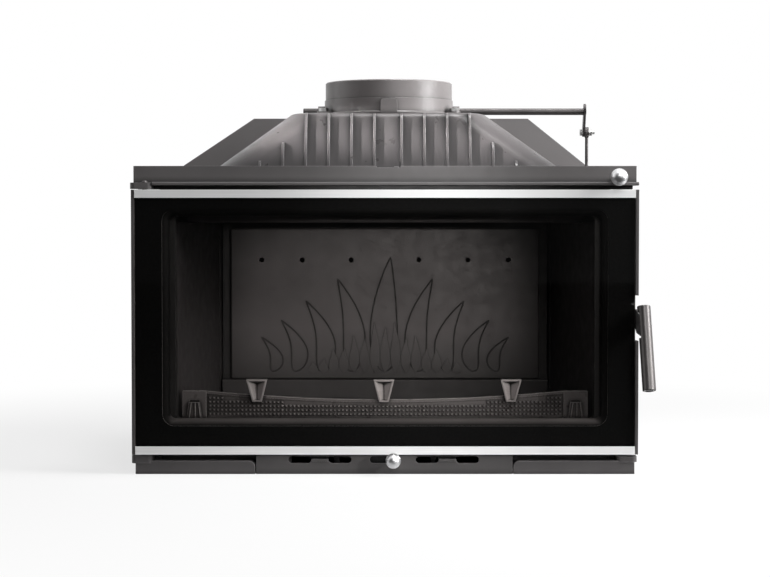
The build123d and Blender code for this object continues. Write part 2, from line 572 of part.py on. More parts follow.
with BuildPart() as shield:
    with BuildSketch(front_plane(REAR - SHIELD_T)) as outline:
        with BuildLine():
            side = HALF - SHIELD_MARGIN
            shoulder, top = HEIGHT + SHIELD_SHOULDER, HEIGHT + SHIELD_RISE
            Polyline((-side, SHIELD_LOW), (side, SHIELD_LOW), (side, shoulder),
                     (SHIELD_TOP_MID + SHIELD_TOP_W / 2, top), (SHIELD_TOP_MID - SHIELD_TOP_W / 2, top),
                     (-side, shoulder), close=True)
        make_face()
        with Locations(*SPACERS):
            Circle(SPACER_SCREW / 2 + SCREW_FIT, mode=Mode.SUBTRACT)
    extrude(amount=-SHIELD_T)
save(shield, "rear_heat_shield")

with BuildPart() as spacers:
    for x, z in SPACERS:
        rod_y(x, z, BACK_OUT, SPACER_D, SHIELD_GAP)
        rod_y(x, z, BACK_OUT + SHIELD_GAP, SPACER_SCREW, SHIELD_T)
        with BuildSketch(front_plane(REAR)):
            with Locations((x, z)):
                RegularPolygon(SPACER_SCREW * HEX, 6, major_radius=False)
        extrude(amount=-SPACER_HEAD_T)
save(spacers, "shield_spacers")

with BuildPart() as keeper:
    # a shelf that the latch pin draws up under, on the right edge of the front frame
    with BuildSketch(front_plane(PIN_Y - KEEPER_DEEP / 2)) as shelf:
        with Locations((FACE_HALF + KEEPER_OUT / 2, PIN_Z + LATCH_D / 2 + KEEPER_GAP + KEEPER_H / 2)):
            Rectangle(KEEPER_OUT, KEEPER_H)
        chamfer(shelf.vertices().sort_by(Axis.X)[-2:].sort_by(Axis.Y)[-1], KEEPER_BEVEL)
    extrude(amount=-KEEPER_DEEP)
    fillet(keeper.edges().filter_by(Axis.X).group_by(Axis.Z)[0], KEEPER_EDGE)
save(keeper, "latch_keeper")


# ---- fire chamber ----------------------------------------------------------------------
def side_lining(side, label):
    """A flat lining slab, turned in towards the back, with a raised border."""
    y0, y1 = FRONT + LINING_Y, LINING_BACK
    a0, a1, thick = half_at(y0), half_at(y1), LINING_T / COS
    with BuildPart() as lining:
        slab([(side * a0, y0), (side * a1, y1), (side * (a1 + thick), y1), (side * (a0 + thick), y0)],
             HEARTH_Z, BAFFLE_Z)
        # shallow panel inside the border, cut square to the slab's face
        face_mid = Plane(origin=(side * (a0 + a1) / 2, (y0 + y1) / 2, (HEARTH_Z + BAFFLE_Z) / 2),
                         x_dir=(side * (a1 - a0), y1 - y0, 0), z_dir=(-side * COS, -COS * TAN, 0))
        with BuildSketch(face_mid) as sunk:
            RectangleRounded((y1 - y0) / COS - 2 * LINING_BORDER,
                             BAFFLE_Z - HEARTH_Z - 2 * LINING_BORDER, LINING_R)
        extrude(sunk.sketch, amount=-LINING_SUNK, mode=Mode.SUBTRACT)
    save(lining, label)


side_lining(-1, "side_lining_left")
side_lining(1, "side_lining_right")


def flame(x, z, w, h, lean):
    """One tongue of flame as a closed outline, wide below and hooked at the tip."""
    with BuildLine() as line:
        Spline((x, z), (x - w / 2, z + 0.30 * h), (x - 0.16 * w, z + 0.66 * h), (x + lean, z + h))
        Spline((x + lean, z + h), (x + 0.20 * w, z + 0.62 * h), (x + w / 2, z + 0.26 * h), (x, z))
    return make_face(line.edges(), mode=Mode.PRIVATE)


with BuildPart() as back_lining:
    panel(-PLATE_HALF, PLATE_HALF, PLATE_Z[0], PLATE_Z[1], PLATE_Y, PLATE_Y + PLATE_T, corner=PLATE_R)
    fillet(back_lining.faces().sort_by(Axis.Y)[0].edges(), PLATE_EDGE)
    with BuildSketch(front_plane(PLATE_Y)):
        with Locations(*[(s * share * PLATE_HALF, PLATE_Z[1] - PLATE_HOLE_DOWN)
                         for s in (-1, 1) for share in PLATE_HOLES]):
            Circle(PLATE_HOLE_D / 2)
    extrude(amount=-PLATE_T, mode=Mode.SUBTRACT)
    # a bank of flames in low relief, tallest in the middle
    with BuildSketch(front_plane(PLATE_Y)):
        for i in range(-FLAMES, FLAMES + 1):
            tall = FLAME_H * (1 - abs(i) / (FLAMES + 1.5)) * (1.0 if i % 2 else FLAME_SHORT)
            add(flame(i * FLAME_PITCH, PLATE_Z[0] + FLAME_UP, FLAME_W, tall, (-1) ** i * FLAME_LEAN))
    extrude(amount=FLAME_RELIEF)
save(back_lining, "back_lining")

with BuildPart() as lining_ledge:
    with BuildSketch(Plane.YZ.offset(-BOX_HALF)) as profile:
        with BuildLine():
            Polyline((LEDGE_Y, HEARTH_Z), (LEDGE_Y + LEDGE_WALL, HEARTH_Z),
                     (LEDGE_Y + LEDGE_WALL, PLATE_Z[0] - LEDGE_WALL), (BACK_IN, PLATE_Z[0] - LEDGE_WALL),
                     (BACK_IN, PLATE_Z[0]), (LEDGE_Y, PLATE_Z[0]), close=True)
        make_face()
    extrude(amount=2 * BOX_HALF)
    fillet(lining_ledge.edges().filter_by(Axis.X).group_by(Axis.Y)[0].sort_by(Axis.Z)[-1], LEDGE_NOSE)
save(lining_ledge, "lining_ledge")

with BuildPart() as air_box:
    y0 = PLATE_Y + PLATE_T
    panel(-BOX_HALF, BOX_HALF, PLATE_Z[0], BAFFLE_Z, y0, BACK_IN)
    panel(-BOX_HALF + BOX_T, BOX_HALF - BOX_T, PLATE_Z[0] + BOX_T, BAFFLE_Z - BOX_T, y0 + BOX_T,
          BACK_IN, Mode.SUBTRACT)
    panel(-PLATE_HALF + BOX_SEAT, PLATE_HALF - BOX_SEAT, PLATE_Z[0] + BOX_SEAT,
          PLATE_Z[1] - BOX_SEAT, y0, y0 + BOX_T, Mode.SUBTRACT)
save(air_box, "rear_air_box")

with BuildPart() as hearth:
    panel(-WALL_IN + 1, WALL_IN - 1, HEARTH_Z - HEARTH_T, HEARTH_Z, FACE_BACK + RIM_OUT, BACK_IN)
    with BuildSketch(Plane.XY.offset(HEARTH_Z)):
        with Locations((0, GRATE_MID)):
            Rectangle(GRATE_X + 2 * GRATE_FIT, GRATE_Y + 2 * GRATE_FIT)
    extrude(amount=-GRATE_T - CLEAR, mode=Mode.SUBTRACT)
    with BuildSketch(Plane.XY.offset(HEARTH_Z)):
        with Locations((0, GRATE_MID)):
            Rectangle(GRATE_X - 2 * GRATE_LEDGE, GRATE_Y - 2 * GRATE_LEDGE)
    extrude(amount=-HEARTH_T, mode=Mode.SUBTRACT)
save(hearth, "hearth_plate")

with BuildPart() as grate:
    with BuildSketch(Plane.XY.offset(HEARTH_Z - GRATE_T)):
        with Locations((0, GRATE_MID)):
            RectangleRounded(GRATE_X, GRATE_Y, GRATE_R)
            with GridLocations(2 * GRATE_BAR, GRATE_SLOT + GRATE_BAR, GRATE_COLS, 2):
                SlotOverall(GRATE_SLOT, GRATE_BAR, rotation=90, mode=Mode.SUBTRACT)
    extrude(amount=GRATE_T)
save(grate, "grate")


def pan_body(inset, z0, mode=Mode.ADD):
    """The flared tub of the ash pan, set in by a wall."""
    with BuildSketch(Plane.XY.offset(z0)) as tub:
        with Locations((0, GRATE_MID)):
            RectangleRounded(GRATE_X - 2 * (PAN_GAP + PAN_FLARE + inset),
                             GRATE_Y - 2 * (PAN_GAP + PAN_FLARE + inset), PAN_R - inset)
    extrude(tub.sketch, amount=BASE_FLOOR_T + PAN_H - z0,
            taper=-math.degrees(math.atan(PAN_FLARE / PAN_H)), mode=mode)


with BuildPart() as pan:
    pan_body(0, BASE_FLOOR_T)
    pan_body(PAN_T, BASE_FLOOR_T + PAN_T, Mode.SUBTRACT)
save(pan, "ash_pan")

with BuildPart() as baffle:
    a, b = half_at(BAFFLE_FRONT, LINING_T - 1), half_at(LINING_BACK, LINING_T - 1)
    slab([(-a, BAFFLE_FRONT), (a, BAFFLE_FRONT), (b, LINING_BACK), (BOX_HALF - 2, LINING_BACK),
          (BOX_HALF - 2, BACK_IN), (2 - BOX_HALF, BACK_IN), (2 - BOX_HALF, LINING_BACK),
          (-b, LINING_BACK)], BAFFLE_Z, BAFFLE_Z + BAFFLE_T)
    chamfer(baffle.edges().filter_by(Axis.X).group_by(Axis.Y)[0], 2)
save(baffle, "lower_baffle")

with BuildPart() as baffle2:
    panel(-WALL_IN + 1, WALL_IN - 1, BAFFLE2_Z, BAFFLE2_Z + BAFFLE2_T, FACE_BACK + CLEAR, BAFFLE2_BACK)
    # turned-down rear edge and a stiffening rib
    rib_half = WALL_IN - SHELF - BAFFLE2_RIB_T
    for y in (BAFFLE2_BACK - BAFFLE2_RIB_T, (FACE_BACK + BAFFLE2_BACK) / 2):
        panel(-rib_half, rib_half, BAFFLE2_Z - BAFFLE2_RIB_H, BAFFLE2_Z, y, y + BAFFLE2_RIB_T)
save(baffle2, "upper_baffle")


# ---- log guard -------------------------------------------------------------------------
def guard_band(thick):
    """The bowed strip that the guard is cut from, seen from above."""
    with BuildSketch(Plane.XY.offset(HEARTH_Z + GUARD_UNDER)) as band:
        with BuildLine():
            front, rear = [ThreePointArc((-GUARD_SPAN, GUARD_Y + s * thick / 2),
                                         (0, GUARD_Y - GUARD_BOW + s * thick / 2),
                                         (GUARD_SPAN, GUARD_Y + s * thick / 2)) for s in (-1, 1)]
            Line(front @ 0, rear @ 0)
            Line(front @ 1, rear @ 1)
        make_face()
    extrude(band.sketch, amount=GUARD_TOP[1])


def guard_front(low_mid, low_end, drop):
    """The guard's front view: a sagging upper edge over a lower edge."""
    span = GUARD_SPAN + 1
    mid, end = GUARD_TOP[0] - drop, GUARD_TOP[1] - drop
    with BuildSketch(front_plane(FRONT)) as view:
        with BuildLine():
            top = ThreePointArc((-span, end), (0, mid), (span, end))
            low = ThreePointArc((-span, low_end), (0, low_mid), (span, low_end)) \
                if low_mid != low_end else Line((-span, low_end), (span, low_end))
            Line(top @ 0, low @ 0)
            Line(top @ 1, low @ 1)
        make_face()
    extrude(view.sketch, amount=-2 * GUARD_IN, mode=Mode.INTERSECT)


with BuildPart() as guard_rim:
    guard_band(GUARD_T + 2 * GUARD_BEAD)
    guard_front(GUARD_TOP[0] - GUARD_RIM, GUARD_TOP[1] - GUARD_RIM, 0)

with BuildPart() as guard:
    guard_band(GUARD_T)
    guard_front(HEARTH_Z + GUARD_UNDER, HEARTH_Z + GUARD_UNDER, GUARD_RIM)
    add(guard_rim.part)
    # end posts on splayed feet
    for side in (-1, 1):
        x0, x1 = sorted((side * GUARD_SPAN, side * GUARD_HALF))
        with BuildSketch(Plane.YZ.offset(x0)):
            with BuildLine():
                Polyline((GUARD_Y - POST_HALF, GUARD_TOP[1]), (GUARD_Y - FOOT_FRONT, HEARTH_Z + CLEAR),
                         (GUARD_Y + FOOT_REAR, HEARTH_Z + CLEAR), (GUARD_Y + POST_HALF, GUARD_TOP[1]),
                         close=True)
            make_face()
        extrude(amount=x1 - x0)
        # the tapered hollow between the two ribs of a foot
        with BuildSketch(front_plane(GUARD_Y - FOOT_FRONT - 1)):
            with BuildLine():
                Polyline((x0 + POST_RIB, GUARD_TOP[1] - POST_CAP), (x1 - POST_RIB, GUARD_TOP[1] - POST_CAP),
                         (x1 - FOOT_RIB, HEARTH_Z), (x0 + FOOT_RIB, HEARTH_Z), close=True)
            make_face()
        extrude(amount=POST_WEB - FOOT_FRONT, mode=Mode.SUBTRACT)
save(guard, "log_guard")

with BuildPart() as horns:
    for x in HORNS:
        with BuildPart(mode=Mode.PRIVATE) as horn:
            bow = GUARD_BOW * (1 - (x / GUARD_SPAN) ** 2)
            y = GUARD_Y - bow - GUARD_T / 2 - GUARD_BEAD - HORN_GAP
            with BuildSketch(Plane.XY.offset(HEARTH_Z + HORN_UP)):
                with Locations((x, y - HORN_FOOT / 2)):
                    Rectangle(HORN_BOTTOM, HORN_FOOT)
            with BuildSketch(Plane.XY.offset(HEARTH_Z + HORN_UP + HORN_H)):
                with Locations((x, y - HORN_DEEP / 2)):
                    Rectangle(HORN_TOP, HORN_DEEP)
            loft()
            offset(amount=-HORN_T, openings=horn.faces().sort_by(Axis.Z)[-1], kind=Kind.INTERSECTION)
        add(horn.part)
save(horns, "guard_horns")


# ---- hood and flue collar --------------------------------------------------------------
def hood_body(inset, z0, mode=Mode.ADD):
    """The tapering bell of the hood, lofted from its foot to its crown, set in by a wall."""
    with BuildSketch(Plane.XY.offset(z0)) as foot:
        with Locations((HOOD_X, HOOD_Y)):
            RectangleRounded(HOOD_FOOT[0] - 2 * inset, HOOD_FOOT[1] - 2 * inset, HOOD_R[0] - inset)
    with BuildSketch(Plane.XY.offset(HOOD_TOP - inset)) as crown:
        with Locations((HOOD_X, HOOD_Y)):
            RectangleRounded(HOOD_CROWN[0] - 2 * inset, HOOD_CROWN[1] - 2 * inset, HOOD_R[1] - inset)
    loft([foot.sketch.face(), crown.sketch.face()], mode=mode)


def hood_face(z, rear=False):
    """Depth of the hood's front or rear face at a height."""
    up = (z - ROOF_Z) / (HOOD_TOP - ROOF_Z)
    half = (HOOD_FOOT[1] + (HOOD_CROWN[1] - HOOD_FOOT[1]) * up) / 2
    return HOOD_Y + half if rear else HOOD_Y - half


def fin(x, top, rear=False):
    """An upright cooling fin whose outer edge follows the hood's face and rounds in at its top."""
    s = 1 if rear else -1
    full = top >= HOOD_TOP
    z1 = top - FIN_ROUND
    tip = (hood_face(HOOD_TOP, rear) - s * (HOOD_CROWN_R - FIN_SUNK), HOOD_TOP - FIN_TIP) if full \
        else (hood_face(top, rear) - s * FIN_SUNK / 2, top)
    with BuildSketch(Plane.YZ.offset(x - FIN_T / 2)) as side_view:
        with BuildLine():
            edge = Line((hood_face(ROOF_Z, rear) + s * FIN_OUT, ROOF_Z),
                        (hood_face(z1, rear) + s * FIN_OUT, z1))
            over = TangentArc(edge @ 1, tip, tangent=edge % 1)
            Polyline(over @ 1, (hood_face(ROOF_Z, rear) - s * FIN_SUNK, ROOF_Z), edge @ 0)
        make_face()
    extrude(side_view.sketch, amount=FIN_T)


with BuildPart() as hood:
    hood_body(0, ROOF_Z)
    fillet(hood.faces().sort_by(Axis.Z)[-1].edges(), HOOD_CROWN_R)
    with BuildSketch(Plane.XY.offset(ROOF_Z)):
        with Locations((HOOD_X, HOOD_Y)):
            RectangleRounded(HOOD_FOOT[0] + 2 * HOOD_FLANGE, HOOD_FOOT[1] + 2 * HOOD_FLANGE,
                             HOOD_R[0] + HOOD_FLANGE)
    extrude(amount=HOOD_FLANGE_T)
    for i in range(FIN_FULL + len(FIN_SHORT)):
        for s in (-1, 1):
            x = HOOD_X + s * (FIN_MIDDLE / 2 + i * FIN_PITCH)
            fin(x, HOOD_TOP if i < FIN_FULL else HOOD_TOP - FIN_SHORT[i - FIN_FULL])
            if i < FIN_FULL:
                fin(x, HOOD_TOP, rear=True)
    hood_body(HOOD_T, ROOF_Z, Mode.SUBTRACT)
    rod_z(COLLAR_X, COLLAR_Y, HOOD_TOP - 2 * HOOD_T, COLLAR_BORE, 3 * HOOD_T, Mode.SUBTRACT)
    for x, y in LUGS:
        rod_z(x, y, HOOD_TOP - 2 * HOOD_T, BOLT_D + 2 * SCREW_FIT, 3 * HOOD_T, Mode.SUBTRACT)
save(hood, "hood")

with BuildPart() as collar:
    section = Plane(origin=(COLLAR_X, COLLAR_Y, HOOD_TOP), x_dir=(1, 0, 0), z_dir=(0, -1, 0))
    with BuildSketch(section):
        with BuildLine():
            bore, spigot = COLLAR_BORE / 2, COLLAR_D / 2
            step, foot = spigot + COLLAR_STEP, spigot + COLLAR_FOOT
            Polyline((bore, 0), (foot, 0), (foot, FOOT_EDGE), (step, 2 * FOOT_EDGE),
                     (step, STEP_H), (spigot, STEP_H),
                     (spigot, COLLAR_H - COLLAR_EDGE), (spigot - COLLAR_EDGE, COLLAR_H),
                     (bore, COLLAR_H), close=True)
        make_face()
    revolve(axis=Axis((COLLAR_X, COLLAR_Y, 0), (0, 0, 1)))
    # rounded pad on the front, under the step
    with BuildSketch(front_plane(COLLAR_Y - COLLAR_D / 2 - PAD_OUT)) as pad:
        with Locations((COLLAR_X, HOOD_TOP + PAD_H / 2)):
            Rectangle(PAD_W, PAD_H)
        fillet(pad.vertices().group_by(Axis.Y)[-1], PAD_R)
    extrude(amount=-PAD_OUT - PAD_SUNK)
    # shaft bosses and bolt lugs
    rod_x(COLLAR_X - COLLAR_D / 2 - BOSS_OUT, COLLAR_Y, DAMPER_Z, BOSS_D, COLLAR_D + 2 * BOSS_OUT)
    for x, y in LUGS:
        with BuildSketch(Plane.XY.offset(HOOD_TOP)):
            with Locations((x, y)):
                Circle(LUG_D / 2)
            with Locations(((x * 3 + COLLAR_X) / 4, (y * 3 + COLLAR_Y) / 4)):
                Rectangle(LUG_R / 2, LUG_D, rotation=math.degrees(math.atan2(y - COLLAR_Y, x - COLLAR_X)))
            with Locations((x, y)):
                Circle(BOLT_D / 2 + SCREW_FIT, mode=Mode.SUBTRACT)
        extrude(amount=LUG_T)
    rod_z(COLLAR_X, COLLAR_Y, HOOD_TOP - BOSS_D, COLLAR_BORE, BOSS_D + COLLAR_H, Mode.SUBTRACT)
    rod_x(COLLAR_X - COLLAR_D, COLLAR_Y, DAMPER_Z, SHAFT_D + 2 * RUNNING, 2 * COLLAR_D, Mode.SUBTRACT)
    panel(-HALF, HALF, HOOD_TOP - BOSS_D, HOOD_TOP, FRONT, REAR, Mode.SUBTRACT)
save(collar, "flue_collar")

with BuildPart() as collar_bolts:
    for x, y in LUGS:
        rod_z(x, y, HOOD_TOP - HOOD_T - BOLT_PAST, BOLT_D, HOOD_T + BOLT_PAST + LUG_T)
        with BuildSketch(Plane.XY.offset(HOOD_TOP + LUG_T)):
            with Locations((x, y)):
                RegularPolygon(BOLT_HEAD / 2, 6, major_radius=False)
        extrude(amount=BOLT_HEAD_T)
save(collar_bolts, "collar_bolts")


# ---- flue damper -----------------------------------------------------------------------
DISC_Z = DAMPER_Z + SHAFT_FLAT
CRANK_PIN = (COLLAR_Y + CRANK_R * math.sin(math.radians(CRANK_REST)),
             DAMPER_Z - CRANK_R * math.cos(math.radians(CRANK_REST)))
EYE_X = CRANK_X + CRANK_T + CLEAR + EYE_T / 2
NUT_X = EYE_X + EYE_T / 2 + CLEAR

with BuildPart() as disc:
    with BuildSketch(Plane.XY.offset(DISC_Z)):
        with Locations((COLLAR_X, COLLAR_Y)):
            Circle(DAMPER_D / 2)
            with Locations((0, DAMPER_D / 2)):
                Circle(DISC_NOTCH, mode=Mode.SUBTRACT)
            with Locations((-DISC_SCREW_X, 0), (DISC_SCREW_X, 0)):
                Circle(DISC_SCREW / 2 + SCREW_FIT, mode=Mode.SUBTRACT)
    extrude(amount=DAMPER_T)
save(disc, "damper_disc")

with BuildPart() as shaft:
    rod_x(SHAFT_LEFT, COLLAR_Y, DAMPER_Z, SHAFT_D, CRANK_X - SHAFT_LEFT)
    chamfer(shaft.faces().sort_by(Axis.X)[0].edges(), SHAFT_EDGE)
    rod_x(CRANK_X, COLLAR_Y, DAMPER_Z, SPIGOT_D, CRANK_T + SHAFT_EDGE)
    flat_half = DAMPER_D / 2 + CLEAR
    panel(COLLAR_X - flat_half, COLLAR_X + flat_half, DISC_Z, DISC_Z + SHAFT_D,
          COLLAR_Y - SHAFT_D, COLLAR_Y + SHAFT_D, Mode.SUBTRACT)
    for s in (-1, 1):
        rod_z(COLLAR_X + s * DISC_SCREW_X, COLLAR_Y, DAMPER_Z - SHAFT_D, DISC_SCREW + 2 * SCREW_FIT,
              2 * SHAFT_D, Mode.SUBTRACT)
save(shaft, "damper_shaft")

with BuildPart() as disc_screws:
    for s in (-1, 1):
        x = COLLAR_X + s * DISC_SCREW_X
        rod_z(x, COLLAR_Y, DAMPER_Z - SHAFT_FLAT, DISC_SCREW, 2 * SHAFT_FLAT + DAMPER_T)
        rod_z(x, COLLAR_Y, DISC_Z + DAMPER_T, 2 * DISC_SCREW, 2.5)
save(disc_screws, "disc_screws")

with BuildPart() as crank:
    mid = (COLLAR_Y + (CRANK_PIN[0] - COLLAR_Y) * (CRANK_R - CRANK_TAIL) / (2 * CRANK_R),
           DAMPER_Z + (CRANK_PIN[1] - DAMPER_Z) * (CRANK_R - CRANK_TAIL) / (2 * CRANK_R))
    with BuildSketch(Plane.YZ.offset(CRANK_X)):
        with Locations(mid):
            SlotCenterToCenter(CRANK_R + CRANK_TAIL, CRANK_W, rotation=CRANK_REST - 90)
        with Locations((COLLAR_Y, DAMPER_Z)):
            Circle(SPIGOT_D / 2 + SCREW_FIT, mode=Mode.SUBTRACT)
        with Locations(CRANK_PIN):
            Circle(CRANK_BOLT_D / 2 + SCREW_FIT, mode=Mode.SUBTRACT)
    extrude(amount=CRANK_T)
save(crank, "damper_crank")

with BuildPart() as crank_bolt:
    with BuildSketch(Plane.YZ.offset(CRANK_X)):
        with Locations(CRANK_PIN):
            RegularPolygon(CRANK_BOLT_D * HEX, 6, major_radius=False)
    extrude(amount=-CRANK_HEAD_T)
    rod_x(CRANK_X, *CRANK_PIN, CRANK_BOLT_D, NUT_X + NUT_T + BOLT_TAIL - CRANK_X)
    chamfer(crank_bolt.faces().sort_by(Axis.X)[-1].edges(), BOLT_EDGE)
save(crank_bolt, "crank_bolt")

with BuildPart() as crank_nut:
    with BuildSketch(Plane.YZ.offset(NUT_X)):
        with Locations(CRANK_PIN):
            RegularPolygon(CRANK_BOLT_D * HEX, 6, major_radius=False)
            Circle(CRANK_BOLT_D / 2 + SCREW_FIT, mode=Mode.SUBTRACT)
    extrude(amount=NUT_T)
save(crank_nut, "crank_nut")

with BuildPart() as pull_rod:
    y, z = CRANK_PIN
    with BuildLine() as route:
        FilletPolyline((EYE_X, y, z - EYE_D / 2 + 2), (EYE_X, y, KNOB_Z), (EYE_X, ROD_JOG[0], KNOB_Z),
                       (KNOB_X, ROD_JOG[1], KNOB_Z), (KNOB_X, KNOB_Y + KNOB_D / 2 - KNOB_BORE, KNOB_Z),
                       radius=ROD_BEND)
    with BuildSketch(Plane(origin=route.line @ 0, z_dir=route.line % 0)):
        Circle(ROD_D / 2)
    sweep(path=route.line)
    rod_x(EYE_X - EYE_T / 2, y, z, EYE_D, EYE_T)
    rod_x(EYE_X - EYE_T / 2, y, z, CRANK_BOLT_D + 2 * RUNNING, EYE_T, Mode.SUBTRACT)
save(pull_rod, "pull_rod")


def ball_knob(x, y, z, d, stem_d, bore, label):
    """A turned ball, bored from behind for its stem, with a flat where the stem enters."""
    with BuildPart() as ball:
        with Locations((x, y, z)):
            Sphere(d / 2)
        rod_y(x, z, y + d / 2 - bore, stem_d + 2 * SCREW_FIT, bore + 1, Mode.SUBTRACT)
        panel(x - d, x + d, z - d, z + d, y + d / 2 - KNOB_FLAT, y + d, Mode.SUBTRACT)
    save(ball, label)


ball_knob(KNOB_X, KNOB_Y, KNOB_Z, KNOB_D, ROD_D, KNOB_BORE, "damper_knob")

# ---- air inlet -------------------------------------------------------------------------
COVER_BACK = BASE_FRONT + COVER_T
SLIDER_Y = COVER_BACK + CLEAR

with BuildPart() as cover:
    panel(*COVER_X, 0, COVER_H, BASE_FRONT, COVER_BACK)
    chamfer(cover.faces().sort_by(Axis.Y)[0].edges().filter_by(Axis.X), COVER_EDGE)
    with BuildSketch(front_plane(BASE_FRONT)):
        with Locations(*[(x, SLOT_Z) for x in SLOT_X]):
            SlotOverall(SLOT_W, SLOT_H)
        with Locations((sum(MIDDLE_SLOT) / 2, SLOT_Z)):
            SlotOverall(MIDDLE_SLOT[1] - MIDDLE_SLOT[0], SLOT_H)
        # a narrow slot joins the two slots of each pair
        for a, b in (SLOT_X[:2], SLOT_X[2:]):
            with Locations(((a + b) / 2, BRIDGE_Z)):
                Rectangle(b - a - SLOT_H, BRIDGE_H)
    extrude(amount=-COVER_T, mode=Mode.SUBTRACT)
    # raised bar under each narrow slot
    for a, b in (SLOT_X[:2], SLOT_X[2:]):
        panel(a + SLOT_W / 2 + 1, b - SLOT_W / 2 - 1, BRIDGE_Z - BRIDGE_H / 2 - BAR_H,
              BRIDGE_Z - BRIDGE_H / 2, BASE_FRONT - BAR_OUT, BASE_FRONT)
    # cheeks back to the base, and a lid strip behind the slider
    for x in (COVER_X[0], COVER_X[1] - CHEEK_T):
        panel(x, x + CHEEK_T, COVER_FLOOR, COVER_H, COVER_BACK, FACE_FRONT)
        rod_y(x + CHEEK_T / 2, SCREW_Z, FACE_FRONT - SCREW_IN, COVER_SCREW + 2 * SCREW_FIT, SCREW_IN,
              Mode.SUBTRACT)
    panel(*COVER_X, COVER_H - LID_T, COVER_H, SLIDER_Y + SLIDER_T + CLEAR, FACE_FRONT)
save(cover, "air_cover")

with BuildPart() as guides:
    for x in (SLIDER_X - SLIDER_HALF / 2, SLIDER_X + SLIDER_HALF / 2):
        panel(x - GUIDE_L / 2, x + GUIDE_L / 2, SLIDER_Z[0] - CLEAR - GUIDE_T, SLIDER_Z[0] - CLEAR,
              COVER_BACK, SLIDER_Y + SLIDER_T + CLEAR + GUIDE_T)
        panel(x - GUIDE_L / 2, x + GUIDE_L / 2, SLIDER_Z[0] - CLEAR, SLIDER_Z[0] + GUIDE_H,
              SLIDER_Y + SLIDER_T + CLEAR, SLIDER_Y + SLIDER_T + CLEAR + GUIDE_T)
save(guides, "slider_guides")

with BuildPart() as cover_screws:
    for x in (COVER_X[0] + CHEEK_T / 2, COVER_X[1] - CHEEK_T / 2):
        rod_y(x, SCREW_Z, FACE_FRONT - SCREW_IN, COVER_SCREW, SCREW_IN + BASE_RIM_T)
        rod_y(x, SCREW_Z, FACE_FRONT + BASE_RIM_T, 2 * COVER_SCREW, 2)
save(cover_screws, "cover_screws")

with BuildPart() as slider:
    with BuildSketch(front_plane(SLIDER_Y)):
        with Locations((SLIDER_X, sum(SLIDER_Z) / 2)):
            Rectangle(2 * SLIDER_HALF, SLIDER_Z[1] - SLIDER_Z[0])
        with Locations(*[(x, SLOT_Z) for x in SLOT_X]):
            Rectangle(SLOT_W, SLIDER_WINDOW, mode=Mode.SUBTRACT)
        with Locations((AIR_KNOB_X, AIR_KNOB_Z)):
            Circle(STEM_D / 2 - 1 + SCREW_FIT, mode=Mode.SUBTRACT)
    extrude(amount=-SLIDER_T)
save(slider, "air_slider")

with BuildPart() as stem:
    y0 = AIR_KNOB_Y + AIR_KNOB_D / 2 - KNOB_BORE
    rod_y(AIR_KNOB_X, AIR_KNOB_Z, y0, STEM_D, SLIDER_Y - y0)
    rod_y(AIR_KNOB_X, AIR_KNOB_Z, SLIDER_Y, STEM_D - 2, SLIDER_T + 2)
save(stem, "slider_stem")

ball_knob(AIR_KNOB_X, AIR_KNOB_Y, AIR_KNOB_Z, AIR_KNOB_D, STEM_D, KNOB_BORE, "air_knob")


# ---- door ------------------------------------------------------------------------------
def ring(x, z0, z1, wide, y0, y1, corner, mode=Mode.ADD):
    """A flat frame that goes round an opening, x half width by z0..z1, wide outward."""
    with BuildSketch(front_plane(y0)) as drawn:
        with Locations((0, (z0 + z1) / 2)):
            RectangleRounded(2 * (x + wide), z1 - z0 + 2 * wide, corner + wide)
            RectangleRounded(2 * x, z1 - z0, corner, mode=Mode.SUBTRACT)
    extrude(drawn.sketch, amount=-(y1 - y0), mode=mode)


with BuildPart() as door:
    panel(-EDGE_X, EDGE_X, DOOR_BOTTOM, DOOR_TOP, DOOR_FRONT, DOOR_BACK)
    panel(-OPEN_HALF, OPEN_HALF, *OPEN_Z, DOOR_FRONT, DOOR_BACK, Mode.SUBTRACT, DOOR_R)
    # rounded inner edge, front and rear
    inner = door.edges().filter_by(lambda e: abs(e.center().X) < OPEN_HALF + 1
                                   and OPEN_Z[0] - 1 < e.center().Z < OPEN_Z[1] + 1)
    fillet(inner.group_by(Axis.Y)[0], DOOR_ROUND)
    # side flanges round the glass, the right one notched for the handle
    for x in (-DOOR_HALF, EDGE_X):
        panel(x, x + DOOR_HALF - EDGE_X, DOOR_BOTTOM, DOOR_TOP, FRONT, DOOR_BACK)
    panel(EDGE_X, DOOR_HALF + 1, *NOTCH_Z, FRONT - 1, DOOR_BACK + 1, Mode.SUBTRACT)
    fillet(door.edges().filter_by(Axis.Z).filter_by(
        lambda e: e.center().X < -HALF and e.center().Y > DOOR_BACK - 1), DOOR_CORNER)
    ring(OPEN_HALF + ROPE_INSET, OPEN_Z[0] - ROPE_INSET, OPEN_Z[1] + ROPE_INSET, ROPE_W,
         DOOR_BACK - ROPE_DEEP, DOOR_BACK, DOOR_R + ROPE_INSET, Mode.SUBTRACT)
    for z in (DOOR_BOTTOM, DOOR_TOP - PIN_DEEP - 1):
        rod_z(HINGE_X, HINGE_Y, z, PIN_D + 2 * RUNNING, PIN_DEEP + 1, Mode.SUBTRACT)
    rod_x(EDGE_X - PIVOT_DEEP, PIVOT_Y, PIVOT_Z, PIVOT_D + 2 * SCREW_FIT, PIVOT_DEEP, Mode.SUBTRACT)
    for x, z in TRIM_SCREWS:
        rod_y(x, z, DOOR_FRONT, TRIM_SCREW + 2 * SCREW_FIT, DOOR_T, Mode.SUBTRACT)
        rod_y(x, z, DOOR_BACK - TRIM_SCREW, 2 * TRIM_SCREW + 2 * SCREW_FIT, TRIM_SCREW, Mode.SUBTRACT)
save(door, "door_frame")

